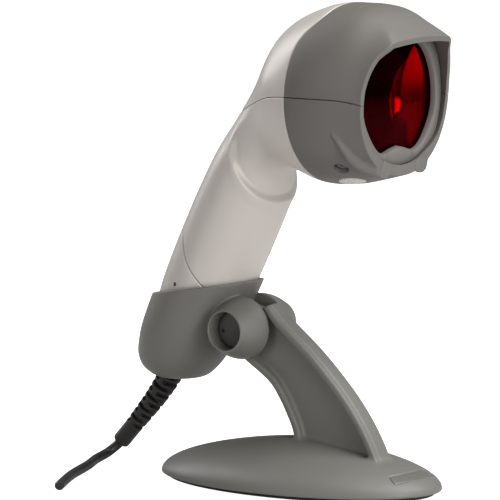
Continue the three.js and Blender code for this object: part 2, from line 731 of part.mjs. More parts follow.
const nameBadge = badgeRegion(0, 0).intersect(domeSolid(BADGE.step, UNDERSIDE))
  .subtract(domeSolid(BADGE.sunk - GAP, UNDERSIDE - 1));

const plateHoles = joined(...PLATE_SCREWS.map(([x, y]) => (
  rod([x, y, 0], [x, y, 9], 1.8, 12).add(rod([x, y, 0], [x, y, UNDERSIDE + 1.2], 3.4, 16)))));
const basePlate = topPrism(oval(0.92), UNDERSIDE, UNDERSIDE + 1.9).subtract(plateHoles);

function plateScrew([x, y]) {
  return rod([x, y, UNDERSIDE + 0.1], [x, y, UNDERSIDE + 1], 3, 16)
    .add(rod([x, y, UNDERSIDE + 0.5], [x, y, 8.4], 1.4, 12));
}

const baseWeight = topPrism(oval(0.44), 4.2, 10.4);
const rubberFootPad = topPrism(oval(0.955), 0, UNDERSIDE - GAP);

// ------------------------------------------------------------------- assembly

const stand = [
  piece('stand_body', standBody, STAND_PLASTIC),
  piece('name_badge', nameBadge, STAND_PLASTIC),
  piece('base_weight', baseWeight, STEEL),
  piece('base_plate', basePlate, BLACK_PLASTIC),
  ...PLATE_SCREWS.map((at, i) => piece(`base_plate_screw_${i + 1}`, plateScrew(at), STEEL)),
  piece('rubber_foot_pad', rubberFootPad, BLACK_RUBBER),
  piece('pivot_washer_left', leftWasher, STEEL),
  piece('pivot_washer_right', rightWasher, STEEL),
];

const cradle = [
  piece('cradle_cup', cradleCup, STAND_PLASTIC),
  piece('cradle_magnet', cradleMagnet, STEEL),
  piece('pivot_bolt', pivotBolt, STEEL),
  piece('pivot_cap_right', pivotCap(-1), DARK_PLASTIC),
  piece('pivot_cap_left', pivotCap(1), DARK_PLASTIC),
];

const scanner = [
  piece('head_top_shell', headTopShell, SILVER_PLASTIC),
  piece('handle_shell', handleShell, SILVER_PLASTIC),
  piece('handle_back_cover', handleBackCover, SILVER_PLASTIC),
  piece('head_top_bumper', headTopBumper, DARK_PLASTIC),
  piece('head_bottom_bumper', headBottomBumper, DARK_PLASTIC),
  piece('led_lens_left', ledLens(1), MILKY_LENS),
  piece('led_lens_right', ledLens(-1), MILKY_LENS),
  piece('chin_screw_left', chinScrew(1), STEEL),
  piece('chin_screw_right', chinScrew(-1), STEEL),
  piece('mode_button', modeButton, DARK_PLASTIC),
  piece('window_bezel', bezel, DARK_PLASTIC),
  piece('scan_window', scanWindow, RED_FILTER),
  piece('window_gasket', windowGasket, BLACK_RUBBER),
  piece('optics_chassis', opticsChassis, BLACK_PLASTIC),
  piece('polygon_motor', polygonMotor, STEEL),
  piece('polygon_mirror', polygonMirror, MIRROR),
  ...Object.entries(patternMirrors).map(([name, shape]) => piece(name, shape, MIRROR)),
  piece('pattern_mirror_top', topMirror, MIRROR),
  piece('collection_mirror', collectionMirror, MIRROR),
  piece('laser_module', laserModule, BRASS),
  piece('photodetector', photodetector, BLACK_PLASTIC),
  piece('main_board', mainBoard, BOARD_GREEN),
  piece('speaker', speaker, BLACK_PLASTIC),
  piece('button_switch', buttonSwitch, BLACK_PLASTIC),
  piece('interface_socket', interfaceSocket, BLACK_PLASTIC),
  piece('magnet_sensor_board', magnetSensorBoard, BOARD_GREEN),
  piece('shell_screw_low_left', shellScrew(4, 10.5), STEEL),
  piece('shell_screw_low_right', shellScrew(4, -10.5), STEEL),
  piece('shell_screw_high_left', shellScrew(52, 11), STEEL),
  piece('shell_screw_high_right', shellScrew(52, -11), STEEL),
  piece('cable_plug', cablePlug, BLACK_PLASTIC),
  piece('cable_boot', cableBoot, BLACK_RUBBER),
  piece('cable', cable, BLACK_RUBBER),
];

const barcodeScanner = new THREE.Group();
for (const members of [stand, cradle, scanner]) {
  const assembly = new THREE.Group();
  assembly.add(...members);
  barcodeScanner.add(assembly);
}

export default barcodeScanner;
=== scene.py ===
"""Looks for the handheld barcode scanner in its tilting stand.

Shapes are worked out in millimetres in the frame's axes (+X the way the window
faces, +Z up) and become metres when their mesh is made. The housing is one smooth
skin that is cut along its seams; the stand, the cradle and the strain relief are
fields: functions that are negative inside the material.
"""

import json
import math

import bmesh
import bpy
import numpy as np
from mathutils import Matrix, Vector


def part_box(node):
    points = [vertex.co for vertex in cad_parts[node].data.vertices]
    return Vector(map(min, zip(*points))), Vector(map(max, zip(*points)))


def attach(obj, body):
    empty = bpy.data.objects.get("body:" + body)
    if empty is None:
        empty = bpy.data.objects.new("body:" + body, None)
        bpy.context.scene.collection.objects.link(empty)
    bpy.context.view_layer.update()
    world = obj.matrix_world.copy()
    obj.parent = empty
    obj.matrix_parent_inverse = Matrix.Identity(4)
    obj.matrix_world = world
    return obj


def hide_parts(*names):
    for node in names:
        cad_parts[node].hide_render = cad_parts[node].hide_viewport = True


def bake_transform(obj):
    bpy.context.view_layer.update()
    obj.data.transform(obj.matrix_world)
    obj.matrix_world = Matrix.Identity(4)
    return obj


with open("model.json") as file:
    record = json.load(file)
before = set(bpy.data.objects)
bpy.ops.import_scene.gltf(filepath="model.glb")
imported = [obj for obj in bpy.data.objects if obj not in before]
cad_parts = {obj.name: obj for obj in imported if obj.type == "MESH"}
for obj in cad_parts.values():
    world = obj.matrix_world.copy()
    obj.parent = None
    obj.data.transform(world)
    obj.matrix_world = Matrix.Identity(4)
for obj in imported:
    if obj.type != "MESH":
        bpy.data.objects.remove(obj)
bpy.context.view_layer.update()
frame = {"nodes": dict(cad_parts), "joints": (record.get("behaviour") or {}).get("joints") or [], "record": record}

MM = 0.001
GAP = 0.3          # between two neighbouring mouldings
WALL = 2.4         # thickness of the housing
SIDES = ((-1, "right"), (1, "left"))
ELSEWHERE = 99.0   # the value of a field away from the one place where it means something
JOINTS = {joint["name"]: joint for joint in frame["joints"]}


def box(node):
    """Lowest and highest corner of a CAD node, in millimetres."""
    low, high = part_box(node)
    return np.array(low) / MM, np.array(high) / MM


# ---- places from the frame

PIVOT = np.array(JOINTS["cradle_tilt"]["pos_m"]) / MM
UP_HANDLE = np.array(JOINTS["scanner_lift"]["axis"])[[0, 2]]
FORWARD_OF_HANDLE = np.array([UP_HANDLE[1], -UP_HANDLE[0]])
WIDEST_X = box("head_bottom_bumper")[0][0] + 0.25    # the head's widest cross-section
FOOT_LOW, FOOT_HIGH = box("stand_body")
FOOT_LENGTH, FOOT_WIDTH = (FOOT_HIGH - FOOT_LOW)[:2]
UNDERSIDE = FOOT_LOW[2]
WINDOW_BACK, WINDOW_FRONT = (corner[0] for corner in box("scan_window"))
BEZEL_FRONT = box("window_bezel")[1][0]
CAP_LOW, CAP_HIGH = box("pivot_cap_left")
CAP_INNER, CAP_OUTER = CAP_LOW[1], CAP_HIGH[1]
CAP_RADIUS = (CAP_HIGH[0] - CAP_LOW[0]) / 2
HANDLE_AT_RIM = np.array([-53.6, 84.6])              # the handle's axis at the cradle's rim


# ---- small helpers

def by_mode(full):
    return full


def smoothstep(value, low, high):
    t = np.clip((value - low) / (high - low), 0, 1)
    return t * t * (3 - 2 * t)


def spline(points, t):
    """The smooth curve through the points, at t from 0 to 1."""
    points = np.asarray(points, float)
    place = np.clip(t, 0, 1) * (len(points) - 1)
    start = np.minimum(place.astype(int), len(points) - 2)
    w = (place - start)[:, None]
    before = points[np.maximum(start - 1, 0)]
    here, there = points[start], points[start + 1]
    after = points[np.minimum(start + 2, len(points) - 1)]
    leave, arrive = (there - before) / 2, (after - here) / 2
    return ((2 * here - 2 * there + leave + arrive) * w ** 3
            + (3 * there - 3 * here - 2 * leave - arrive) * w ** 2 + leave * w + here)


def smooth_line(points, count=40):
    return spline(points, np.linspace(0, 1, count))


def from_line(line, x, z):
    """Signed distance from a line in the side view, and how far along it.

    The distance is positive on the left of the line's direction.
    """
    best, signed, reach, passed = None, None, None, 0.0
    for start, end in zip(line[:-1], line[1:]):
        along = end - start
        length = np.hypot(*along)
        along = along / length
        dx, dz = x - start[0], z - start[1]
        t = np.clip(dx * along[0] + dz * along[1], 0, length)
        away = np.hypot(dx - t * along[0], dz - t * along[1])
        side = np.where(along[0] * dz - along[1] * dx >= 0, 1.0, -1.0)
        if best is None:
            best, signed, reach = away, side * away, t + passed
        else:
            nearer = away < best
            best = np.where(nearer, away, best)
            signed = np.where(nearer, side * away, signed)
            reach = np.where(nearer, t + passed, reach)
        passed += length
    return signed, reach


def from_polygon(corners, x, z):
    """Signed distance from a closed outline in the side view, negative inside it."""
    corners = np.asarray(corners, float)
    closed = np.vstack([corners, corners[:1]])
    away = np.abs(from_line(closed, x, z)[0])
    inside = np.zeros(np.broadcast(x, z).shape, bool)
    for (x0, z0), (x1, z1) in zip(closed[:-1], closed[1:]):
        if z0 == z1:
            continue
        crosses = (z0 > z) != (z1 > z)
        inside ^= crosses & (x < (x1 - x0) * (z - z0) / (z1 - z0) + x0)
    return np.where(inside, -away, away)


def joined(first, second, radius):
    """Union of two fields with a fillet of about the given radius."""
    t = np.clip(0.5 + 0.5 * (second - first) / radius, 0, 1)
    return second * (1 - t) + first * t - radius * t * (1 - t)


def common(first, second, radius):
    """Intersection of two fields with their edge rounded."""
    return -joined(-first, -second, radius)


def without(first, second, radius):
    """The first field with the second cut out of it, and the edge rounded."""
    return common(first, -second, radius)


# ---- making meshes

def piece(name, points, faces, body=None, sharp=38, outwards=False):
    """A mesh object from points in millimetres.

    Edges sharper than `sharp` degrees stay crisp, and `outwards` turns the faces outwards.
    """
    mesh = bpy.data.meshes.new(name)
    mesh.from_pydata((points * MM).tolist(), [], faces)
    work = bmesh.new()
    work.from_mesh(mesh)
    bmesh.ops.remove_doubles(work, verts=work.verts, dist=1e-7)
    bmesh.ops.dissolve_degenerate(work, edges=work.edges, dist=1e-7)
    if outwards:
        bmesh.ops.recalc_face_normals(work, faces=work.faces)
    limit = math.radians(sharp)
    for highlight_mask in work.edges:
        highlight_mask.smooth = len(highlight_mask.link_faces) == 2 and highlight_mask.calc_face_angle() < limit
    for face in work.faces:
        face.smooth = True
    work.to_mesh(mesh)
    work.free()
    thing = bpy.data.objects.new(name, mesh)
    bpy.context.scene.collection.objects.link(thing)
    if body:
        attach(thing, body)
    return thing


def finished(thing, looks, look, node, slot=None):
    """Gives a piece its look and hides the CAD node that it stands for. The slot argument is not used."""
    thing.data.materials.clear()
    thing.data.materials.append(looks[look])
    slot or look
    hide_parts(node)


def mesh_of_loops(name, loops, body, ring=False, sharp=38):
    """A closed body from loops of points; `ring` joins the last loop back to the first."""
    if ring:
        loops = [*loops, loops[0]]
    count = len(loops[0])
    i = np.arange(count)
    j = (i + 1) % count
    faces = []
    for here in range(0, count * (len(loops) - 1), count):
        there = here + count
        faces += np.stack([here + i, here + j, there + j, there + i], axis=1).tolist()
    if not ring:
        faces += [i[::-1].tolist(), (count * (len(loops) - 1) + i).tolist()]
    return piece(name, np.vstack(loops), faces, body, sharp, outwards=True)


# ---- meshes from smooth fields

def settled(field, points):
    """Moves points onto the field's zero level."""
    reach = 0.02
    for _ in range(3):
        x, y, z = points.T
        value = field(x, y, z)
        slope = np.stack([
            field(x + reach, y, z) - field(x - reach, y, z),
            field(x, y + reach, z) - field(x, y - reach, z),
            field(x, y, z + reach) - field(x, y, z - reach)], axis=1) / (2 * reach)
        steep = np.maximum((slope ** 2).sum(axis=1), 0.05)
        step = np.clip(value / steep, -0.3, 0.3)
        points = points - slope * step[:, None]
    return points


def surface_points(value, where):
    """Where the surface runs in each of these cells: the mean of its edges' crossings."""
    total = np.zeros((len(where), 3))
    hits = np.zeros(len(where))
    at = {corner: value[tuple((where + corner).T)] for corner in np.ndindex(2, 2, 2)}
    for start, a in at.items():
        for axis in range(3):
            if start[axis]:
                continue
            b = at[tuple(1 if n == axis else start[n] for n in range(3))]
            crossed = (a < 0) != (b < 0)
            place = np.tile(np.array(start, float), (len(where), 1))
            place[:, axis] = np.where(crossed, a / np.where(crossed, a - b, 1), 0)
            total += place * crossed[:, None]
            hits += crossed
    return total / hits[:, None]


def surface_quads(inside, number):
    """A quad round each grid edge that the surface crosses, between the cells' numbers."""
    faces = []
    for axis in range(3):
        u, v = (axis + 1) % 3, (axis + 2) % 3
        a = inside[tuple(slice(0, -1) if n == axis else slice(1, -1) for n in range(3))]
        b = inside[tuple(slice(1, None) if n == axis else slice(1, -1) for n in range(3))]
        for flips, change in ((False, a & ~b), (True, ~a & b)):
            base = np.argwhere(change) + [0 if n == axis else 1 for n in range(3)]
            corners = []
            for du, dv in ((1, 1), (0, 1), (0, 0), (1, 0)):
                cell = base.copy()
                cell[:, u] -= du
                cell[:, v] -= dv
                corners.append(number[tuple(cell.T)])
            quads = np.stack(corners, axis=1)
            faces.append(quads[:, ::-1] if flips else quads)
    return np.vstack(faces)


def mesh_from_field(name, field, low, high, step, body=None):
    """The surface where the field is zero, as quads one cell in size."""
    axes = [np.arange(a - step, b + 2 * step, step) for a, b in zip(low, high)]
    shape = tuple(len(axis) for axis in axes)
    value = field(*np.meshgrid(*axes, indexing="ij", sparse=True))
    value = np.array(np.broadcast_to(value, shape), np.float32)
    inside = value < 0
    cells = tuple(n - 1 for n in shape)
    count = sum(
        inside[tuple(slice(n, n + cell) for n, cell in zip(corner, cells))].astype(np.int8)
        for corner in np.ndindex(2, 2, 2))
    where = np.argwhere((count > 0) & (count < 8))
    number = np.full(cells, -1)
    number[tuple(where.T)] = np.arange(len(where))
    origin = np.array([axis[0] for axis in axes])
    points = settled(field, origin + step * (where + surface_points(value, where)))
    return piece(name, points, surface_quads(inside, number).tolist(), body, sharp=50)


# ---- the housing's skin

# Height up the handle's axis, half depth, half width.
HANDLE = [
    (-27, 14.6, 17.6), (-14, 17.4, 20.2), (0, 19.3, 22), (24, 20.1, 22.4), (46, 19.8, 22.8)]

# The handle's lower end: the radius of its edge, how far it drops, and its mean half width.
END = {"radius": 3.0, "drop": 0.9, "half_width": 16.0}

# Top or back end (x, z), bottom or front end (x, z), half width, squareness.
NECK_AND_HEAD = [
    (-39.5, 153.5, -9.5, 130.5, 23.3, 2),
    (-27.8, 168.5, -7.5, 140, 23.7, 2),
    (-14.4, 187.4, -2.5, 144.4, 26, 2),
    (-0.2, 209.6, 9, 142, 34.6, 2),
    (WIDEST_X, 219.4, WIDEST_X, 139, 41, 2),
    (34, 221.4, 34, 139.4, 41, 2.08),
    (46, 221.6, 46, 142, 38, 2.15),
    (57, 216.4, 57, 144.8, 34.6, 2.15),
    (68, 212, 68, 146.6, 34, 2.15)]

# The roof over the window: a slightly crowned face that falls to the visor's edge.
ROOF = [
    (20, 228), (30, 226), (38, 223.8), (46, 220.8), (52, 217.8), (57, 214.3), (62, 210.5), (66.5, 206.8),
    (71, 203)]
ROOF_CROWN = 138.0
LOWEST_ROOF = 170.0


def handle_point(up, forward):
    """A place in the side view from its distance up the handle and forward of its axis."""
    return HANDLE_AT_RIM + up * UP_HANDLE + forward * FORWARD_OF_HANDLE


def all_sections():
    """Every cross-section of the housing, from the foot of the handle to the window."""
    sections = []
    for up, half_depth, half_width in HANDLE:
        back = handle_point(up, -half_depth)
        front = handle_point(up, half_depth)
        sections.append((*back, *front, half_width, 2))
    return np.array(sections + NECK_AND_HEAD)


def section_ring(section, angles):
    """The points of one cross-section, an oval that `squareness` above 2 fills out."""
    x0, z0, x1, z1, half_width, squareness = section
    bulge = 2 / squareness
    along = np.sign(np.cos(angles)) * np.abs(np.cos(angles)) ** bulge
    across = np.sign(np.sin(angles)) * np.abs(np.sin(angles)) ** bulge
    middle = np.array([(x0 + x1) / 2, (z0 + z1) / 2])
    arm = np.array([(x0 - x1) / 2, (z0 - z1) / 2])
    return np.stack([middle[0] + arm[0] * along, half_width * across, middle[1] + arm[1] * along], axis=1)


def roof_height(x, y):
    """How high the crowned roof stands over a place."""
    roof_x, roof_z = np.array(ROOF).T
    return np.interp(x, roof_x, roof_z) - y ** 2 / (2 * ROOF_CROWN)


def under_roof(ring):
    """Flattens the top of a ring where it would stand above the roof."""
    x, y, z = ring.T
    fillet = 1.2 + 8 * (1 - smoothstep(x, 30, 64))
    lowered = joined(z, roof_height(x, y), fillet)
    return np.column_stack([x, y, np.where(z > LOWEST_ROOF, lowered, z)])


def grid_triangles(rings, count):
    """Two triangles for each cell between successive rings."""
    r, i = np.meshgrid(np.arange(rings - 1), np.arange(count), indexing="ij")
    j = (i + 1) % count
    a, b = r * count + i, r * count + j
    c, d = b + count, a + count
    return np.vstack([
        np.stack([a, c, b], axis=-1).reshape(-1, 3), np.stack([a, d, c], axis=-1).reshape(-1, 3)])


def softened(values, spread):
    """Evens out small waves along the housing without moving its ends."""
    reach = int(3 * spread)
    weight = np.exp(-0.5 * (np.arange(-reach, reach + 1) / spread) ** 2)
    padded = np.pad(values, ((reach, reach), (0, 0)), mode="reflect", reflect_type="odd")
    return np.stack([np.convolve(column, weight / weight.sum(), "valid") for column in padded.T], axis=1)


def rounded_end(first):
    """Rings that turn the handle's lower end in, with a rounded edge, and close it."""
    middle = first.mean(axis=0)
    rings = []
    for turn in np.linspace(0, np.pi / 2, 8)[1:]:
        inset = END["radius"] * (1 - math.cos(turn))
        ring = middle + (first - middle) * (1 - inset / END["half_width"])
        ring[:, [0, 2]] -= UP_HANDLE * END["drop"] * math.sin(turn)
        rings.insert(0, ring)
    middle = rings[0].mean(axis=0)
    closing = [middle + (rings[0] - middle) * share for share in (0.02, 0.5)]
    return closing + rings


def housing_skin():
    rings, count = by_mode(300), by_mode(232)
    sections = softened(spline(all_sections(), np.linspace(0, 1, rings)), rings / 75)
    angles = np.linspace(0, 2 * np.pi, count, endpoint=False)
    points = [under_roof(section_ring(section, angles)) for section in sections]
    points = rounded_end(points[0]) + points
    return np.vstack(points), grid_triangles(len(points), count)


def normals_of(points, triangles):
    """Each point's outward direction, from the triangles round it."""
    a, b, c = (points[triangles[:, n]] for n in range(3))
    face = np.cross(b - a, c - a)
    total = np.zeros_like(points)
    for n in range(3):
        np.add.at(total, triangles[:, n], face)
    return total / np.maximum(np.linalg.norm(total, axis=1), 1e-12)[:, None]


# The crease where the palm swell ends and the hollow for the fingers begins.
GRIP_CREASE = smooth_line([
    (-16, 171), (-21, 162), (-23.2, 152), (-21.4, 145.8), (-19, 140), (-15.9, 134.4), (-12.5, 129.6),
    (-7, 126), (2, 122)])

# The ridge that starts thin on each cheek and ends in a nub beside the chin.
WHISKER = [
    (43.3, 36.6, 164.3), (45, 35.2, 161.2), (46.4, 32, 157.2), (47.8, 27.3, 153), (50.5, 22.3, 149.5),
    (54, 17.5, 147.6), (57.3, 12.5, 146.8)]
WHISKER_WIDTH = (1.6, 4.0)
WHISKER_RISE = (0.9, 2.9)
HOLLOW_DEPTH = 1.9
SWELL_RISE = 0.5


def on_left(points):
    """The points with those of the right half mirrored to the left."""
    return np.column_stack([points[:, 0], np.abs(points[:, 1]), points[:, 2]])


def whisker_height(points):
    """How far the ridge stands out of the plain skin at each point."""
    here = on_left(points)
    along = np.linspace(0, 1, 120)
    path = spline(WHISKER, along)
    nearest = np.linalg.norm(here[None] - path[:, None], axis=2).argmin(axis=1)
    path = softened(here[nearest], 7.0)
    away = np.linalg.norm(here[:, None] - path[None], axis=2)
    width = np.interp(smoothstep(along, 0, 0.7), (0, 1), WHISKER_WIDTH)
    height = np.interp(smoothstep(along, 0, 0.6), (0, 1), WHISKER_RISE)
    return (height * (1 - smoothstep(away, 0.1 * width, width))).max(axis=1)


def sculpted(points, triangles):
    """Adds the finger hollow, the palm swell and the two ridges beside the chin to the plain skin."""
    x, z = points[:, 0], points[:, 2]
    past_crease = from_line(GRIP_CREASE, x, z)[0]
    hollow = HOLLOW_DEPTH * smoothstep(past_crease, 0, 3.4) * (1 - smoothstep(past_crease, 6, 26))
    swell = SWELL_RISE * smoothstep(past_crease, -5, 0) * (1 - smoothstep(past_crease, 0, 2))
    below_head = 1 - smoothstep(z, 150, 168)
    chin = np.flatnonzero((x > 30) & (z < 175) & (z > 138))
    ridge = np.zeros(len(points))
    ridge[chin] = whisker_height(points[chin])
    rise = ridge + (swell - hollow) * below_head
    return points + normals_of(points, triangles) * rise[:, None]


# ---- cutting skins on lines

def cut_along(skin, field, level):
    """Adds the line where the field has this level, so that no triangle crosses it."""
    points, triangles = skin
    value = field(points) - level
    value = np.where(np.abs(value) < 1e-5, 1e-5, value)
    above = value > 0
    count = above[triangles].sum(axis=1)
    whole = (count == 0) | (count == 3)
    mixed = triangles[~whole]
    if not len(mixed):
        return skin
    lone_above = above[mixed].sum(axis=1) == 1
    lone = np.argmax(above[mixed] == lone_above[:, None], axis=1)
    order = (lone[:, None] + np.arange(3)) % 3
    a, b, c = np.take_along_axis(mixed, order, axis=1).T
    edges = np.sort(np.vstack([np.stack([a, b], axis=1), np.stack([a, c], axis=1)]), axis=1)
    keys, index = np.unique(edges, axis=0, return_inverse=True)
    index = index.ravel()
    share = (value[keys[:, 0]] / (value[keys[:, 0]] - value[keys[:, 1]]))[:, None]
    added = points[keys[:, 0]] * (1 - share) + points[keys[:, 1]] * share
    ab = len(points) + index[:len(a)]
    ac = len(points) + index[len(a):]
    triangles = np.vstack([
        triangles[whole], np.stack([a, ab, ac], axis=1), np.stack([ab, b, c], axis=1),
        np.stack([ab, c, ac], axis=1)])
    return np.vstack([points, added]), triangles


def only_used(points, triangles):
    used, index = np.unique(triangles, return_inverse=True)
    return points[used], index.reshape(triangles.shape)


EDGE_RADIUS = 0.5


def trimmed(skin, *fields):
    """Keeps the part of the skin where every field is positive, with its edges eased."""
    for field in fields:
        points, triangles = skin
        keep = (field(points)[triangles] > 0).any(axis=1)
        skin = only_used(points, triangles[keep])
        for level in (EDGE_RADIUS, 0.5 * EDGE_RADIUS, 0.15 * EDGE_RADIUS, 0):
            skin = cut_along(skin, field, level)
        points, triangles = skin
        middle = points[triangles].mean(axis=1)
        skin = only_used(points, triangles[field(middle) > 0])
    points, triangles = skin
    depth = np.min([field(points) for field in fields], axis=0)
    lack = np.clip(EDGE_RADIUS - depth, 0, EDGE_RADIUS)
    drop = EDGE_RADIUS - np.sqrt(EDGE_RADIUS ** 2 - lack ** 2)
    return points - normals_of(points, triangles) * (0.8 * drop)[:, None], triangles


def moved_in(skin, depth=WALL):
    """The skin's points moved inwards."""
    return skin[0] - normals_of(*skin) * depth


def shell(name, skin, inner, body):
    """A closed wall: the skin, the inner points that match it, and the edges between them."""
    points, triangles = skin
    count = len(points)
    edges = np.vstack([triangles[:, [0, 1]], triangles[:, [1, 2]], triangles[:, [2, 0]]])
    keys = np.sort(edges, axis=1)
    _, index, seen = np.unique(keys, axis=0, return_index=True, return_counts=True)
    i, j = edges[index[seen == 1]].T
    walls = np.vstack([np.stack([j, i, i + count], axis=1), np.stack([j, i + count, j + count], axis=1)])
    faces = np.vstack([triangles, triangles[:, ::-1] + count, walls])
    return piece(name, np.vstack([points, inner]), faces.tolist(), body)


# The seams, as lines (x, z) in the side view.
PARTING = smooth_line([
    (-90, 150), (-48, 157), (-32, 166.5), (-19, 171), (-8, 175), (5, 179), (19, 180.6), (40, 180.6),
    (50, 179.8), (60, 177.5), (76, 173)], 60)
BUMPER_SEAM = smooth_line([
    (19.6, 120), (19.6, 150), (19.6, 185), (20, 199), (21, 205), (23.2, 209.5), (25.6, 213), (27.6, 217),
    (28.6, 224)], 60)
FRONT_EDGE = smooth_line([
    (55.6, 136), (56, 161), (57, 180), (58.2, 188.6), (61.2, 199), (65.6, 205.2), (68.5, 214)], 60)
COVER_SEAM = np.vstack([
    [(-130, 114)],
    smooth_line([
        (-78, 114), (-60, 114.6), (-53.5, 112.2), (-51, 107.2), (-48.1, 99.9), (-43, 92),
        (-40.2, 88.1)], 40),
    [handle_point(-40, 10)]])
CHIN_SCREW = np.array([39.4, 24.8, 148.7])
CHIN_SCREW_OUT = np.array([0.14, 0.6, -0.79]) / np.linalg.norm([0.14, 0.6, -0.79])
RECESS = {"radius": 3.75, "reach": 12.0}
SCREW = {"radius": 3.3, "depth": 2.35, "half_height": 0.45, "slot_half_width": 0.4,
         "slot_half_length": 1.6, "slot_floor": 2.5}
LED_LENS = {"x": 36.3, "y": 11.3, "radius": 6.3 + GAP / 2, "below": 155.0}
BUTTON = {"up": 66.0, "radius": 6.3, "crown": 0.8, "depth": 3.2}
PIN_HOLE = {"x": -55.2, "z": 89.3, "radius": 0.9}


# Each of the next functions gives a signed distance, positive on the side that its name says.

def above_parting(points):
    return from_line(PARTING, points[:, 0], points[:, 2])[0]


def behind_seam(points):
    return from_line(BUMPER_SEAM, points[:, 0], points[:, 2])[0]


def behind_front_edge(points):
    return from_line(FRONT_EDGE, points[:, 0], points[:, 2])[0]


def outside_cover(points):
    return from_line(COVER_SEAM, points[:, 0], points[:, 2])[0]


def from_screw(points):
    """Distance outside the recess of the nearer chin screw."""
    offset = on_left(points) - CHIN_SCREW
    along = offset @ CHIN_SCREW_OUT
    away = np.linalg.norm(offset - along[:, None] * CHIN_SCREW_OUT, axis=1)
    return np.where(np.abs(along) < RECESS["reach"], away, ELSEWHERE) - RECESS["radius"]


def from_lens(points):
    """Distance outside the nearer of the two light lenses under the chin."""
    x, y = points[:, 0] - LED_LENS["x"], np.abs(points[:, 1]) - LED_LENS["y"]
    return np.where(points[:, 2] < LED_LENS["below"], np.hypot(x, y) - LED_LENS["radius"], ELSEWHERE)


def on_side(side):
    """Positive on the left (+1) or the right (-1) half."""
    return lambda points: side * points[:, 1]


def from_button(points):
    """Distance outside the round button on the back of the neck."""
    offset = points[:, [0, 2]] - HANDLE_AT_RIM
    away = np.hypot(offset @ UP_HANDLE - BUTTON["up"], points[:, 1]) - BUTTON["radius"]
    return np.where(offset @ FORWARD_OF_HANDLE < 0, away, ELSEWHERE)


def from_pin_hole(points):
    """Distance outside the small hole low on the right side."""
    away = np.hypot(points[:, 0] - PIN_HOLE["x"], points[:, 2] - PIN_HOLE["z"]) - PIN_HOLE["radius"]
    return np.where(points[:, 1] < 0, away, ELSEWHERE)


def within(field, by=GAP / 2):
    """The region where the field is positive, pulled in by the given distance."""
    return lambda points: field(points) - by


def around(field, by=GAP / 2):
    """The region where the field is negative, pulled in by the given distance."""
    return lambda points: -field(points) - by


WINDOW_MIDDLE = 180.0
HAIRLINE = 0.12    # the thin seam round the window's surround
LIP = 2.6          # how much thicker the bumpers' wall gets under the window
HEAD_SECTIONS = spline(all_sections(), np.linspace(0, 1, 400))
HEAD_SECTIONS = HEAD_SECTIONS[HEAD_SECTIONS[:, 0] > WIDEST_X + 1]


def plain_hood(points):
    """The head's plain surface level with each point, and which way is out, at the same X."""
    x = points[:, 0]
    section = [np.interp(x, HEAD_SECTIONS[:, 0], column) for column in HEAD_SECTIONS.T]
    half_width, power = section[4:]
    middle, half_height = (section[1] + section[3]) / 2, (section[1] - section[3]) / 2
    angle = np.arctan2(points[:, 2] - WINDOW_MIDDLE, points[:, 1])
    low, high = np.zeros(len(x)), np.full(len(x), 80.0)
    for _ in range(30):
        reach = (low + high) / 2
        y, z = reach * np.cos(angle), WINDOW_MIDDLE + reach * np.sin(angle)
        across, up = np.abs(y) / half_width, np.abs(z - middle) / half_height
        outside = (across ** power + up ** power > 1) | (z > roof_height(x, y))
        high, low = np.where(outside, reach, high), np.where(outside, low, reach)
    out_y = np.sign(y) * across ** (power - 1) / half_width
    out_z = np.sign(z - middle) * up ** (power - 1) / half_height
    at_roof = z > roof_height(x, y) - 0.01
    out_y, out_z = np.where(at_roof, y / ROOF_CROWN, out_y), np.where(at_roof, 1, out_z)
    out = np.column_stack([0 * x, out_y, out_z]) / np.hypot(out_y, out_z)[:, None]
    return np.column_stack([x, y, z]), out


def hood_inside(points, room=0.0):
    """The inner face of the bumpers' wall level with each point."""
    surface, out = plain_hood(points)
    return surface - out * (lip_depth(surface[:, 0], surface[:, 2]) + room)[:, None]


def lip_depth(x, z):
    """Thickness of the bumpers' wall, which grows into a lip under the window."""
    return WALL + LIP * smoothstep(x, 38, 54) * (1 - smoothstep(z, 147, 162))


def make_housing(looks):
    points, triangles = housing_skin()
    skin = sculpted(points, triangles), triangles
    top, low = within(above_parting), around(above_parting)
    behind, ahead = within(behind_seam), around(behind_seam)
    panels = [
        ("neck_shell", "head_top_shell", "silver_plastic", (behind, top)),
        ("grip_shell", "handle_shell", "silver_plastic",
         (behind, low, within(outside_cover), from_button)),
        ("grip_back_cover", "handle_back_cover", "silver_plastic",
         (behind, around(outside_cover), from_pin_hole)),
        ("top_bumper", "head_top_bumper", "dark_plastic", (ahead, top, behind_front_edge)),
        ("bottom_bumper", "head_bottom_bumper", "dark_plastic",
         (ahead, low, behind_front_edge, from_screw, from_lens))]
    for name, node, look, regions in panels:
        part = trimmed(skin, *regions)
        inner = hood_inside(part[0]) if look == "dark_plastic" else moved_in(part)
        finished(shell(name, part, inner, "scanner"), looks, look, node)
    make_light_lenses(looks, skin)
    make_button(looks, skin)


def make_light_lenses(looks, skin):
    for side, word in SIDES:
        part = trimmed(skin, on_side(side), around(from_lens))
        lens = shell(f"light_lens_{word}", part, moved_in(part), "scanner")
        finished(lens, looks, "milky_lens", f"led_lens_{word}")


def make_button(looks, skin):
    part = trimmed(skin, around(from_button, GAP))
    crown = BUTTON["crown"] * smoothstep(-from_button(part[0]), 0.4, 3)
    face = part[0] + normals_of(*part) * crown[:, None]
    button = shell("thumb_button", (face, part[1]), moved_in(part, BUTTON["depth"]), "button")
    finished(button, looks, "dark_plastic", "mode_button")


# ---- window and surround

# Half of the window's outline (across, height), from its bottom to its top.
WINDOW_HALF = [
    (0, 157.3), (6, 156.2), (12, 154.9), (17.5, 157.3), (23, 163.5), (27.3, 171.5), (28.3, 180),
    (26.5, 190), (21, 199.5), (11, 206), (0, 207.5)]
BEZEL_DEPTH = 2.4
BEZEL_EDGE = 0.3


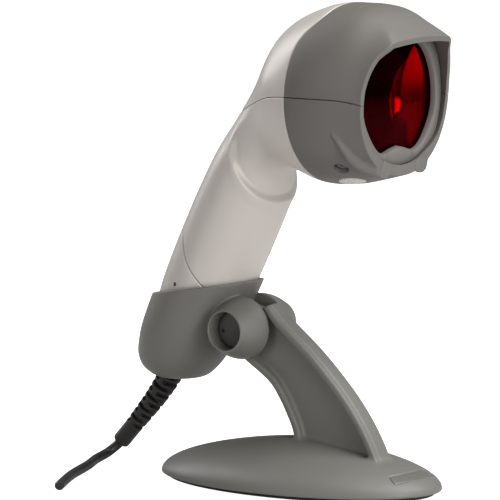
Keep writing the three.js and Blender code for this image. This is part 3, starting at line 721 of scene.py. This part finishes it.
def window_loop(grow, x):
    """The window's outline at one X, grown by the given distance."""
    half = smooth_line(WINDOW_HALF, 81)
    mirrored = half[1:-1][::-1] * [-1, 1]
    line = np.vstack([half, mirrored])
    away = line - [0, WINDOW_MIDDLE]
    away /= np.linalg.norm(away, axis=1)[:, None]
    line = line + away * grow
    return np.column_stack([np.full(len(line), x), line])


def screw_head(centre, out):
    """The field of a round head with a cross-shaped recess, at the bottom of its hole."""
    first = np.cross(out, [1.0, 0, 0])
    first /= np.linalg.norm(first)
    second = np.cross(out, first)

    def field(x, y, z):
        offset = (x - centre[0], y - centre[1], z - centre[2])
        height, u, v = (sum(o * a for o, a in zip(offset, axis)) for axis in (out, first, second))
        flat = np.abs(height + SCREW["depth"]) - SCREW["half_height"]
        head = common(np.hypot(u, v) - SCREW["radius"], flat, 0.5)
        u, v = np.abs(u), np.abs(v)
        slots = [np.maximum(across - SCREW["slot_half_width"], along - SCREW["slot_half_length"])
                 for across, along in ((u, v), (v, u))]
        cross = np.maximum(np.minimum(*slots), -SCREW["slot_floor"] - height)
        return without(head, cross, 0.15)

    return field


def make_chin_screws(looks):
    for side, word in SIDES:
        centre, out = CHIN_SCREW * [1, side, 1], CHIN_SCREW_OUT * [1, side, 1]
        seat, reach = centre - SCREW["depth"] * out, SCREW["radius"] + 0.3
        screw = mesh_from_field(f"chin_screw_head_{word}", screw_head(centre, out), seat - reach,
                                seat + reach, by_mode(0.22), "scanner")
        finished(screw, looks, "steel", f"chin_screw_{word}")


def make_window(looks):
    highlight_mask = window_loop(0, BEZEL_FRONT)
    rim = hood_inside(highlight_mask, HAIRLINE)
    loops = [
        rim - [BEZEL_DEPTH, 0, 0], rim - [BEZEL_EDGE, 0, 0], hood_inside(highlight_mask, HAIRLINE + BEZEL_EDGE),
        window_loop(0.5, BEZEL_FRONT), window_loop(0.1, BEZEL_FRONT - 0.4),
        window_loop(-0.5, WINDOW_FRONT + 0.35), window_loop(-0.5, WINDOW_FRONT + 0.3)]
    bezel = mesh_of_loops("window_surround", loops, "scanner", ring=True, sharp=50)
    finished(bezel, looks, "surround_plastic", "window_bezel", slot="dark_plastic")
    loops = [
        window_loop(0.4, WINDOW_BACK), window_loop(1.1, WINDOW_BACK + 0.4),
        window_loop(1.1, WINDOW_FRONT - 0.4), window_loop(0.4, WINDOW_FRONT)]
    finished(mesh_of_loops("red_window", loops, "scanner"), looks, "red_filter", "scan_window")


# ---- cradle and pivot

BARREL = {"inner": 6.6, "outer": 21.6, "root": 14.4, "lip": 9.6, "recess": 8.7, "floor": 11.5}
BOLT_BORE = 3.3
WELL_ROOM = 0.7
KNUCKLE = {"radius": 9.6, "half_width": 5.1}
CUP_RIM = smooth_line([
    (-90, 79.5), (-82, 81.3), (-74, 83.2), (-62.5, 85.7), (-46, 88.2), (-37, 89.4), (-28, 90.8),
    (-20, 92.4)])

# Height, middle, half depth and half width of the cup's level sections.
CUP_SECTIONS = spline([
    (43, -67, 7, 8), (44.4, -67.2, 12, 13), (48.4, -67.6, 17.2, 17.6), (54.5, -66.2, 20.6, 21.2),
    (62, -63.2, 22.4, 23.4), (70, -59.8, 23.4, 24.5), (82, -54.3, 23.8, 24.9), (95, -48, 24.2, 25)],
    np.linspace(0, 1, 80))
CABLE_OPENING = [(-61.5, 64), (-61.5, 30), (-110, 30), (-110, 48), (-90, 60), (-80, 64)]
CABLE_OPENING_HALF_WIDTH = 7.4
CAP_DISH = {"radius": 5.0, "depth": 0.9, "lift": 0.4}
CAP_HOLES = {"count": 3, "first": 1.22, "circle": 5.6, "radius": 0.9, "depth": 1.4}


def cup_outside(x, y, z):
    height = CUP_SECTIONS[:, 0]
    middle, half_depth, half_width = (np.interp(z, height, column) for column in CUP_SECTIONS.T[1:])
    body = (np.hypot((x - middle) / half_depth, y / half_width) - 1) * half_depth
    return common(body, height[0] - z, 1.0)


def well(x, y, z):
    """The handle's own shape with a little room round it."""
    dx, dz = x - HANDLE_AT_RIM[0], z - HANDLE_AT_RIM[1]
    up = dx * UP_HANDLE[0] + dz * UP_HANDLE[1]
    forward = dx * FORWARD_OF_HANDLE[0] + dz * FORWARD_OF_HANDLE[1]
    heights, depths, widths = np.array(HANDLE).T
    half_depth = np.interp(up, heights, depths) + WELL_ROOM
    half_width = np.interp(up, heights, widths) + WELL_ROOM
    side = (np.hypot(forward / half_depth, y / half_width) - 1) * half_depth
    return np.maximum(side, heights[0] - WELL_ROOM - up)


def from_pivot(x, z):
    return np.hypot(x - PIVOT[0], z - PIVOT[2])


def barrels(x, y, z):
    across = np.abs(y)
    length = BARREL["outer"] - BARREL["inner"]
    along = np.clip((across - BARREL["inner"]) / length, 0, 1)
    radius = BARREL["lip"] + (BARREL["root"] - BARREL["lip"]) * np.cos(along * np.pi / 2) ** 1.1
    reach = from_pivot(x, z)
    solid = common(reach - radius, across - BARREL["outer"], 0.5)
    solid = np.maximum(solid, BARREL["inner"] - across)
    solid = without(solid, cap_recess(x, y, z), 0.35)
    return without(solid, reach - BOLT_BORE, 0.2)


def cap_recess(x, y, z):
    """The round pocket at each barrel's outer end."""
    return np.maximum(from_pivot(x, z) - BARREL["recess"], BARREL["floor"] - np.abs(y))


def cable_opening(x, y, z):
    """The way out for the cable, up the back of the cup."""
    return common(from_polygon(CABLE_OPENING, x, z), np.abs(y) - CABLE_OPENING_HALF_WIDTH, 3.0)


def cradle(x, y, z):
    rim = z - np.interp(x, CUP_RIM[:, 0], CUP_RIM[:, 1])
    cup = common(cup_outside(x, y, z), rim, 0.9)
    slot = np.maximum(from_pivot(x, z) - KNUCKLE["radius"] - 0.9, np.abs(y) - BARREL["inner"])
    cup = without(cup, slot, 0.5)
    whole = joined(cup, barrels(x, y, z), 1.6)
    whole = without(whole, cap_recess(x, y, z), 0.3)
    whole = without(whole, slot, 0.4)
    whole = without(whole, well(x, y, z), 0.7)
    return without(whole, cable_opening(x, y, z), 0.8)


def pivot_cap(side):
    """A pressed-in disc with a shallow dish and three small tool holes."""
    def field(x, y, z):
        reach, depth = from_pivot(x, z), CAP_OUTER - side * y
        disc = common(reach - CAP_RADIUS, -depth, 0.8)
        disc = np.maximum(disc, depth - (CAP_OUTER - CAP_INNER))
        down = (depth + CAP_DISH["lift"]) / CAP_DISH["depth"]
        dish = (np.hypot(reach / CAP_DISH["radius"], down) - 1) * CAP_DISH["depth"]
        disc = without(disc, dish, 0.5)
        for number in range(CAP_HOLES["count"]):
            turn = CAP_HOLES["first"] + number * 2 * math.pi / CAP_HOLES["count"]
            hx = PIVOT[0] + CAP_HOLES["circle"] * math.cos(turn)
            hz = PIVOT[2] + CAP_HOLES["circle"] * math.sin(turn)
            hole = np.maximum(np.hypot(x - hx, z - hz) - CAP_HOLES["radius"], depth - CAP_HOLES["depth"])
            disc = without(disc, hole, 0.2)
        return disc
    return field


def make_cradle(looks):
    low, high = box("cradle_cup")
    cup = mesh_from_field("cradle", cradle, low - 0.5, high + 0.5, by_mode(0.55), "cradle")
    finished(cup, looks, "stand_plastic", "cradle_cup")
    for side, word in SIDES:
        low, high = box(f"pivot_cap_{word}")
        cap = mesh_from_field(f"barrel_cap_{word}", pivot_cap(side), low, high,
                              by_mode(0.3), "cradle")
        finished(cap, looks, "cap_plastic", f"pivot_cap_{word}", slot="dark_plastic")


# ---- stand

FOOT = {"height": 22.0, "skin": 2.6, "rim": 2.4, "flare": 1.6}
ARM = {"half_width": 6.0, "flange": 3.4, "web": 2.0}
ARM_FRONT = smooth_line([
    (-14.4, 81), (-8, 74.2), (7.2, 62.4), (19.4, 51.3), (29.4, 40.8), (37.8, 29.8), (43.8, 19.5),
    (47.6, 11)], 28)
ARM_REAR = smooth_line([
    (2.5, 11), (-0.4, 24.4), (-3.6, 31.5), (-8, 39.1), (-14.2, 46.6), (-27.2, 55)], 22)
ARM_OUTLINE = np.vstack([
    ARM_FRONT, ARM_REAR, [(PIVOT[0], PIVOT[2] - 6), (PIVOT[0], PIVOT[2] + 6)]])
BADGE = {"x": 25.0, "inner": 35.0, "outer": 40.4, "half_angle": 0.39, "depth": 1.1}
PLATE = {"sunk": 0.35, "thickness": 0.6}


def dome(x, y, z):
    """The foot's outside as an approximate distance."""
    length, width = FOOT_LENGTH / 2, FOOT_WIDTH / 2
    rise = FOOT["height"] - FOOT["rim"]
    power = 2 / FOOT["flare"]
    out = np.maximum(np.hypot(x / length, y / width), 1e-6)
    up = np.maximum(z - FOOT["rim"], 0) / rise
    value = out ** power + up ** 2 - 1
    slope = power * out ** (power - 2) * np.hypot(x / length ** 2, y / width ** 2)
    steep = np.hypot(slope, 2 * up / rise)
    return value / np.maximum(steep, 0.012)


def arm(x, y, z):
    across = np.abs(y)
    outline = from_polygon(ARM_OUTLINE, x, z)
    highlight_mask = np.minimum(np.abs(from_line(ARM_FRONT, x, z)[0]), np.abs(from_line(ARM_REAR, x, z)[0]))
    web = np.maximum(outline, across - ARM["web"])
    flanges = common(common(outline, highlight_mask - ARM["flange"], 0.8), across - ARM["half_width"], 1.2)
    knuckle = common(from_pivot(x, z) - KNUCKLE["radius"], across - KNUCKLE["half_width"], 0.8)
    return joined(joined(web, flanges, 1.6), knuckle, 1.5)


def badge(x, y):
    """The shallow curved recess for a name near the foot's front tip, left blank."""
    reach = np.hypot(x - BADGE["x"], y)
    middle, half = (BADGE["inner"] + BADGE["outer"]) / 2, (BADGE["outer"] - BADGE["inner"]) / 2
    turn = np.abs(np.arctan2(y, x - BADGE["x"]))
    return common(np.abs(reach - middle) - half, (turn - BADGE["half_angle"]) * middle, 1.0)


def stand(x, y, z):
    foot = common(dome(x, y, z), UNDERSIDE - z, 0.8)
    whole = joined(foot, arm(x, y, z), 2.2)
    sunk = np.maximum(badge(x, y), -(dome(x, y, z) + BADGE["depth"]))
    whole = without(whole, sunk, 0.5)
    whole = np.maximum(whole, -(dome(x, y, z) + FOOT["skin"]))
    return without(whole, from_pivot(x, z) - BOLT_BORE, 0.3)


def name_plate(x, y, z):
    """A plain plate lying in the recess."""
    top = dome(x, y, z) + PLATE["sunk"]
    return common(common(badge(x, y) + GAP, top, 0.4), -(top + PLATE["thickness"]), 0.1)


def oval_loop(half_length, half_width, z):
    angle = np.linspace(0, 2 * np.pi, 220, endpoint=False)
    return np.column_stack([half_length * np.cos(angle), half_width * np.sin(angle), 0 * angle + z])


def make_foot_pad(looks):
    """The rubber sheet under the foot, with its edges eased."""
    low, high = box("rubber_foot_pad")
    inset = FOOT_LENGTH / 2 - high[0]
    profile = [
        (0.6, low[2]), (0.15, low[2] + 0.15), (0, low[2] + 0.5), (0, high[2] - 0.4), (0.5, high[2])]
    loops = [oval_loop(FOOT_LENGTH / 2 - inset - ease, FOOT_WIDTH / 2 - inset - ease, z)
             for ease, z in profile]
    finished(mesh_of_loops("foot_pad", loops, "stand"), looks, "black_rubber", "rubber_foot_pad")


def make_stand(looks):
    body = mesh_from_field("stand", stand, FOOT_LOW - 0.5, FOOT_HIGH + 0.5, by_mode(0.55), "stand")
    finished(body, looks, "stand_plastic", "stand_body")
    low, high = box("name_badge")
    plate = mesh_from_field("blank_name_plate", name_plate, low - 0.5, high + 0.5,
                            by_mode(0.35), "stand")
    finished(plate, looks, "badge_plastic", "name_badge", slot="stand_plastic")
    make_foot_pad(looks)


# ---- cable and boot

BOOT_LINE = smooth_line([
    handle_point(-29.6, -2.6), (-71.8, 47), (-79.5, 35.2), (-88.4, 24.6), (-98.4, 13.4), (-101.6, 10)],
    36)
BOOT = {"top": 6.5, "tip": 4.1, "core": 2.2, "bar": 1.4, "pitch": 3.5, "slot": 2.0, "plain": 9.0,
        "collar": 12.0, "lean": 1.3}
CABLE_RADIUS = 2.23
CABLE_END = [0.5, 0.12]    # how far the last points of the cut ends are drawn in
CABLE_LINE = [
    (-100.9, -1.5, 10.6), (-102.4, -1.7, 8.9), (-105.3, -6.4, 5), (-104.4, -17, 3.2), (-98.2, -31, 2.9),
    (-87.5, -57.4, 2.9), (-74.4, -83, 2.9)]


def boot(x, y, z):
    """A tapering sleeve cut across by slots that turn a quarter from one to the next."""
    away, reach = from_line(BOOT_LINE, x, z)
    length = np.linalg.norm(np.diff(BOOT_LINE, axis=0), axis=1).sum()
    across = y + BOOT["lean"] * reach / length
    radius = BOOT["top"] + (BOOT["tip"] - BOOT["top"]) * np.clip(reach / (length - BOOT["plain"]), 0, 1)
    out = np.hypot(away, across)
    start, end = BOOT_LINE[0], BOOT_LINE[-1]
    first = BOOT_LINE[1] - start
    last = end - BOOT_LINE[-2]
    before = -((x - start[0]) * first[0] + (z - start[1]) * first[1]) / np.hypot(*first)
    beyond = ((x - end[0]) * last[0] + (z - end[1]) * last[1]) / np.hypot(*last)
    sleeve = common(common(out - radius, beyond, 1.0), before, 0.6)
    number = np.floor((reach - BOOT["collar"]) / BOOT["pitch"] + 0.5)
    offset = reach - BOOT["collar"] - number * BOOT["pitch"]
    bar = np.where(number % 2 == 0, np.abs(away), np.abs(across)) - BOOT["bar"]
    kept = np.minimum(bar, out - BOOT["core"])
    slotted = (number >= 0) & (reach < length - BOOT["plain"] - BOOT["slot"])
    slot = np.where(slotted, np.maximum(np.abs(offset) - BOOT["slot"] / 2, -kept), 9.0)
    return without(sleeve, slot, 0.4)


def tube_loops(path, radius):
    """Circles round a path, each square to it."""
    tangent = np.gradient(path, axis=0)
    tangent /= np.linalg.norm(tangent, axis=1)[:, None]
    side = np.cross(tangent, [0.0, 0.0, 1.0])
    side /= np.linalg.norm(side, axis=1)[:, None]
    top = np.cross(side, tangent)
    angle = np.linspace(0, 2 * np.pi, 28, endpoint=False)[:, None]
    return [
        centre + r * (np.cos(angle) * s + np.sin(angle) * u)
        for centre, r, s, u in zip(path, radius, side, top)]


def make_cable(looks):
    low, high = box("cable_boot")
    sleeve = mesh_from_field("strain_relief", boot, low - 0.4, high + 0.4, by_mode(0.42))
    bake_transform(sleeve)
    finished(sleeve, looks, "black_rubber", "cable_boot")
    path = spline(CABLE_LINE, np.linspace(0, 1, 150))
    radius = np.full(len(path), CABLE_RADIUS)
    radius[:2] -= CABLE_END
    radius[-2:] -= CABLE_END[::-1]
    cord = mesh_of_loops("cord", tube_loops(path, radius), None)
    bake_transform(cord)
    finished(cord, looks, "cable_jacket", "cable", slot="black_rubber")


# ---- materials

class Nodes:
    """Short names for the nodes that one material is made of."""

    def __init__(self, name):
        self.material = bpy.data.materials.new(name)
        self.material.use_nodes = True
        self.tree = self.material.node_tree
        self.tree.nodes.clear()
        self.output = self.add("OutputMaterial")
        scale = self.add("VectorMath")
        scale.operation = "SCALE"
        scale.inputs["Scale"].default_value = 1 / MM
        self.link(self.add("TexCoord").outputs["Object"], scale.inputs[0])
        self.place = scale.outputs[0]

    def link(self, start, end):
        self.tree.links.new(start, end)

    def feed(self, socket, value):
        """Gives a socket a number, a colour or another node's output."""
        if isinstance(value, (int, float)):
            socket.default_value = value
        elif isinstance(value, tuple):
            socket.default_value = (*value, 1)
        else:
            self.link(value, socket)

    def add(self, kind, **inputs):
        """A new node, with its inputs given by name."""
        node = self.tree.nodes.new("ShaderNode" + kind)
        for name, value in inputs.items():
            self.feed(node.inputs[name.replace("_", " ")], value)
        return node

    def noise(self, size, detail=3.0, roughness=0.5):
        """Noise with features about `size` millimetres across."""
        node = self.add("TexNoise", Scale=1 / size, Detail=detail, Roughness=roughness, Vector=self.place)
        return node.outputs["Fac"]

    def cells(self, size):
        """Distance from the middle of cells about `size` millimetres across."""
        return self.add("TexVoronoi", Scale=1 / size, Vector=self.place).outputs["Distance"]

    def ramp(self, value, stops):
        """Colours for a value, from stops of a place and a colour."""
        node = self.add("ValToRGB", Fac=value)
        elements = node.color_ramp.elements
        for element, (place, colour) in zip(elements, stops):
            element.position = place
            element.color = (*colour, 1)
        return node.outputs["Color"]

    def mapped(self, value, low, high):
        """Spreads a noise, which mostly lies between 0.25 and 0.75, from `low` to `high`."""
        node = self.add("MapRange", Value=value, From_Min=0.25, From_Max=0.75, To_Min=low, To_Max=high)
        return node.outputs["Result"]

    def drift(self, size, colour, low, high, detail=2):
        """The colour in soft patches, from `low` to `high` times as bright."""
        return self.ramp(self.noise(size, detail), [(0.3, scaled(colour, low)), (0.7, scaled(colour, high))])

    def mixed(self, share, first, second, kind="MIX"):
        node = self.add("Mix")
        node.data_type = "RGBA"
        node.blend_type = kind
        for name, value in (("Factor", share), ("A", first), ("B", second)):
            self.feed(next(i for i in node.inputs if i.name == name and i.enabled), value)
        return next(o for o in node.outputs if o.enabled)

    def edge_highlighted(self, base, lighter, start, end, highlight_share):
        """The base colour, with sharp edges painted towards a lighter one: a painted highlight where the edges
        catch light.
        """
        pointed = self.add("NewGeometry").outputs["Pointiness"]
        # Painted highlight: the sharper a convex edge, the more of the lighter colour it gets.
        highlight_mask = self.ramp(pointed, [(start, grey(0)), (end, grey(highlight_share))])
        return self.mixed(highlight_mask, base, lighter)

    def bump(self, height, depth_mm, onto=None):
        """A normal tilted by a height field, on top of another one if given."""
        node = self.add("Bump", Height=height, Distance=depth_mm * MM, Strength=1)
        if onto is not None:
            self.link(onto, node.inputs["Normal"])
        return node.outputs["Normal"]

    def shade(self, shader):
        """Ends the material with this shader."""
        self.link(shader.outputs[0], self.output.inputs["Surface"])
        return self.material

    def principled(self, **inputs):
        return self.shade(self.add("BsdfPrincipled", **inputs))


def grey(level):
    return (level, level, level)


def scaled(colour, by):
    return tuple(min(1.0, channel * by) for channel in colour)


def moulded(name, colour, roughness, grain, grain_depth):
    """Moulded plastic: slow colour drift, fine spark-eroded grain and a painted highlight that lightens its sharp
    edges.
    """
    n = Nodes(name)
    speckle = n.ramp(n.noise(grain * 0.8, 2), [(0.35, grey(0.46)), (0.65, grey(0.54))])
    base = n.mixed(0.5, n.drift(38, colour, 0.95, 1.05), speckle, "OVERLAY")
    # Painted highlight: sharp edges lightened towards a paler colour.
    base = n.edge_highlighted(base, scaled(colour, 1.5), 0.52, 0.58, 0.25)
    rough = n.mapped(n.noise(11, 4, 0.6), roughness - 0.05, roughness + 0.06)
    grains = n.bump(n.noise(grain, 3, 0.6), grain_depth)
    return n.principled(Base_Color=base, Roughness=rough, Normal=grains)


def silver_paint(name, colour):
    """Warm silver plastic with fine metal flakes under a satin surface."""
    n = Nodes(name)
    flakes = n.ramp(n.cells(0.22), [(0.1, grey(0.56)), (0.6, grey(0.47))])
    base = n.mixed(0.35, n.drift(45, colour, 0.97, 1.03), flakes, "OVERLAY")
    # Painted highlight: sharp edges lightened towards a paler silver.
    base = n.edge_highlighted(base, scaled(colour, 1.35), 0.53, 0.6, 0.3)
    rough = n.mapped(n.noise(14, 4, 0.6), 0.36, 0.44)
    peel = n.bump(n.noise(0.3, 2), 0.004, onto=n.bump(n.noise(1.4, 2), 0.008))
    return n.principled(Base_Color=base, Roughness=rough, Metallic=0.12, Normal=peel)


def rubber(name, colour, roughness):
    """Matt black rubber with a little pale dust on it."""
    n = Nodes(name)
    dust = n.ramp(n.noise(1.2, 5, 0.7), [(0.6, grey(0)), (0.8, grey(0.12))])
    base = n.mixed(dust, n.drift(6, colour, 0.75, 1.35, 4), (0.16, 0.15, 0.14))
    rough = n.mapped(n.noise(3, 4), roughness - 0.08, roughness + 0.1)
    return n.principled(Base_Color=base, Roughness=rough, Normal=n.bump(n.noise(0.35, 3), 0.02))


def red_glass(name):
    """Deep red filter: a clear tint seen straight on, with a gloss that grows at a slant."""
    n = Nodes(name)
    tint = n.ramp(n.noise(20, 2), [(0.3, (0.86, 0.004, 0.016)), (0.7, (0.92, 0.006, 0.022))])
    clear = n.add("BsdfTransparent", Color=tint)
    smears = n.mapped(n.noise(7, 5, 0.7), 0.02, 0.06)
    gloss = n.add("BsdfGlossy", Color=(0.5, 0.02, 0.04), Roughness=smears)
    slant = n.add("Fresnel", IOR=1.45, Normal=n.bump(n.noise(9, 2), 0.004))
    blend = n.add("MixShader", Fac=slant.outputs["Fac"])
    n.link(clear.outputs["BSDF"], blend.inputs[1])
    n.link(gloss.outputs["BSDF"], blend.inputs[2])
    return n.shade(blend)


def milky(name, colour):
    """Pale plastic that lets light in a little way."""
    n = Nodes(name)
    rough = n.mapped(n.noise(2, 3), 0.22, 0.34)
    return n.principled(
        Base_Color=n.drift(9, colour, 0.94, 1.04, 3), Roughness=rough, Subsurface_Weight=0.35,
        Subsurface_Scale=0.002, Normal=n.bump(n.noise(1.1, 2), 0.01))


def metal(name, colour, roughness, brushed):
    """Bare metal, either brushed or nearly as smooth as a mirror."""
    n = Nodes(name)
    rough = n.mapped(n.noise(1.5, 5, 0.7), roughness * 0.7, roughness * 1.3)
    marks = n.bump(n.noise(0.15, 4), 0.012) if brushed else n.bump(n.noise(2, 2), 0.002)
    base = n.drift(4, colour, 0.9, 1.06, 4)
    return n.principled(Base_Color=base, Roughness=rough, Metallic=1.0, Normal=marks)


def circuit_board(name):
    """Green lacquer over patches of copper."""
    n = Nodes(name)
    tracks = n.ramp(n.cells(2.2), [(0.3, (0.01, 0.09, 0.03)), (0.36, (0.03, 0.17, 0.07))])
    rough = n.mapped(n.noise(3, 3), 0.3, 0.45)
    return n.principled(Base_Color=tracks, Roughness=rough, Normal=n.bump(n.cells(2.2), 0.03))


# What each material is made by, and with which values.
LOOKS = {
    "silver_plastic": (silver_paint, (0.56, 0.515, 0.48)),
    "dark_plastic": (moulded, (0.122, 0.114, 0.104), 0.58, 0.45, 0.03),
    "surround_plastic": (moulded, (0.118, 0.111, 0.103), 0.55, 0.4, 0.02),
    "cap_plastic": (moulded, (0.05, 0.048, 0.044), 0.5, 0.4, 0.02),
    "stand_plastic": (moulded, (0.145, 0.141, 0.127), 0.5, 0.5, 0.03),
    "badge_plastic": (moulded, (0.125, 0.121, 0.11), 0.36, 0.3, 0.008),
    "black_plastic": (moulded, (0.09, 0.09, 0.09), 0.35, 0.6, 0.02),
    "black_rubber": (rubber, (0.014, 0.012, 0.011), 0.55),
    "cable_jacket": (rubber, (0.012, 0.011, 0.01), 0.42),
    "red_filter": (red_glass,),
    "milky_lens": (milky, (0.5, 0.46, 0.43)),
    "steel": (metal, (0.34, 0.33, 0.32), 0.4, True),
    "mirror": (metal, (0.85, 0.85, 0.87), 0.03, False),
    "circuit_board": (circuit_board,),
    "brass": (metal, (0.5, 0.36, 0.12), 0.3, True)}


def make_looks():
    return {name: make(name, *values) for name, (make, *values) in LOOKS.items()}


def finish_inner_parts(looks):
    """The CAD's own inner parts stay as they are, with real materials."""
    slots = {part["node"]: part["material_slot"] for part in frame["record"]["subparts"]}
    for name, thing in frame["nodes"].items():
        if thing.hide_render:
            continue
        thing.data.materials.clear()
        thing.data.materials.append(looks[slots[name]])
        for polygon in thing.data.polygons:
            polygon.material_index = 0


# ---- light and camera

def area_light(name, place, target, size, power):
    lamp = bpy.data.lights.new(name, "AREA")
    lamp.shape = "RECTANGLE"
    lamp.size, lamp.size_y = size
    lamp.energy = power
    thing = bpy.data.objects.new(name, lamp)
    bpy.context.scene.collection.objects.link(thing)
    aim(thing, place, target)


def aim(thing, place, target):
    thing.location = place
    thing.rotation_euler = (Vector(target) - Vector(place)).to_track_quat("-Z", "Y").to_euler()


def make_floor():
    """A plain floor: white to the camera, and a soft grey to the light that it sends back."""
    bpy.ops.mesh.primitive_plane_add(size=8, location=(0, 0, -0.0003))
    floor = bpy.context.object
    floor.name = "floor"
    white = bpy.data.materials.new("white_floor")
    white.use_nodes = True
    tree = white.node_tree
    inputs = tree.nodes["Principled BSDF"].inputs
    inputs["Base Color"].default_value = (0.6, 0.6, 0.6, 1)
    inputs["Roughness"].default_value = 0.9
    inputs["Emission Color"].default_value = (1, 1, 1, 1)
    seen = tree.nodes.new("ShaderNodeLightPath")
    tree.links.new(seen.outputs["Is Camera Ray"], inputs["Emission Strength"])
    floor.data.materials.append(white)


def make_studio():
    make_floor()
    world = bpy.data.worlds.new("studio")
    world.use_nodes = True
    sky = world.node_tree.nodes["Background"].inputs
    sky["Color"].default_value = (1, 1, 1, 1)
    sky["Strength"].default_value = 0.2
    bpy.context.scene.world = world
    middle = (-0.02, 0, 0.12)
    area_light("overhead", (0.55, 0.25, 1.1), middle, (0.9, 0.9), 17)
    area_light("behind_left", (-1.1, 0.1, 0.7), middle, (0.3, 0.9), 6)
    area_light("ahead_of_window", (1.3, -0.4, 0.4), middle, (0.6, 0.9), 12)
    area_light("beside_camera", (-0.2, -1.5, 0.5), middle, (0.5, 0.9), 3.5)
    bpy.context.scene.view_settings.view_transform = "Standard"


def make_camera():
    """The photograph's view: a long lens, 36 degrees round to the right, 7.3 degrees up."""
    azimuth, elevation, distance = math.radians(36), math.radians(7.3), 2.5
    target = np.array([-0.0284, 0, 0.1048])
    back = np.array([
        math.sin(azimuth) * math.cos(elevation), -math.cos(azimuth) * math.cos(elevation),
        math.sin(elevation)])
    camera = bpy.data.objects.new("camera", bpy.data.cameras.new("camera"))
    camera.data.lens = 395.6
    camera.data.sensor_width = 36
    camera.data.clip_end = 50
    bpy.context.scene.collection.objects.link(camera)
    aim(camera, tuple(target + back * distance), tuple(target))
    bpy.context.scene.camera = camera


looks = make_looks()
make_housing(looks)
make_chin_screws(looks)
make_window(looks)
make_cradle(looks)
make_stand(looks)
make_cable(looks)
finish_inner_parts(looks)
make_studio()
make_camera()
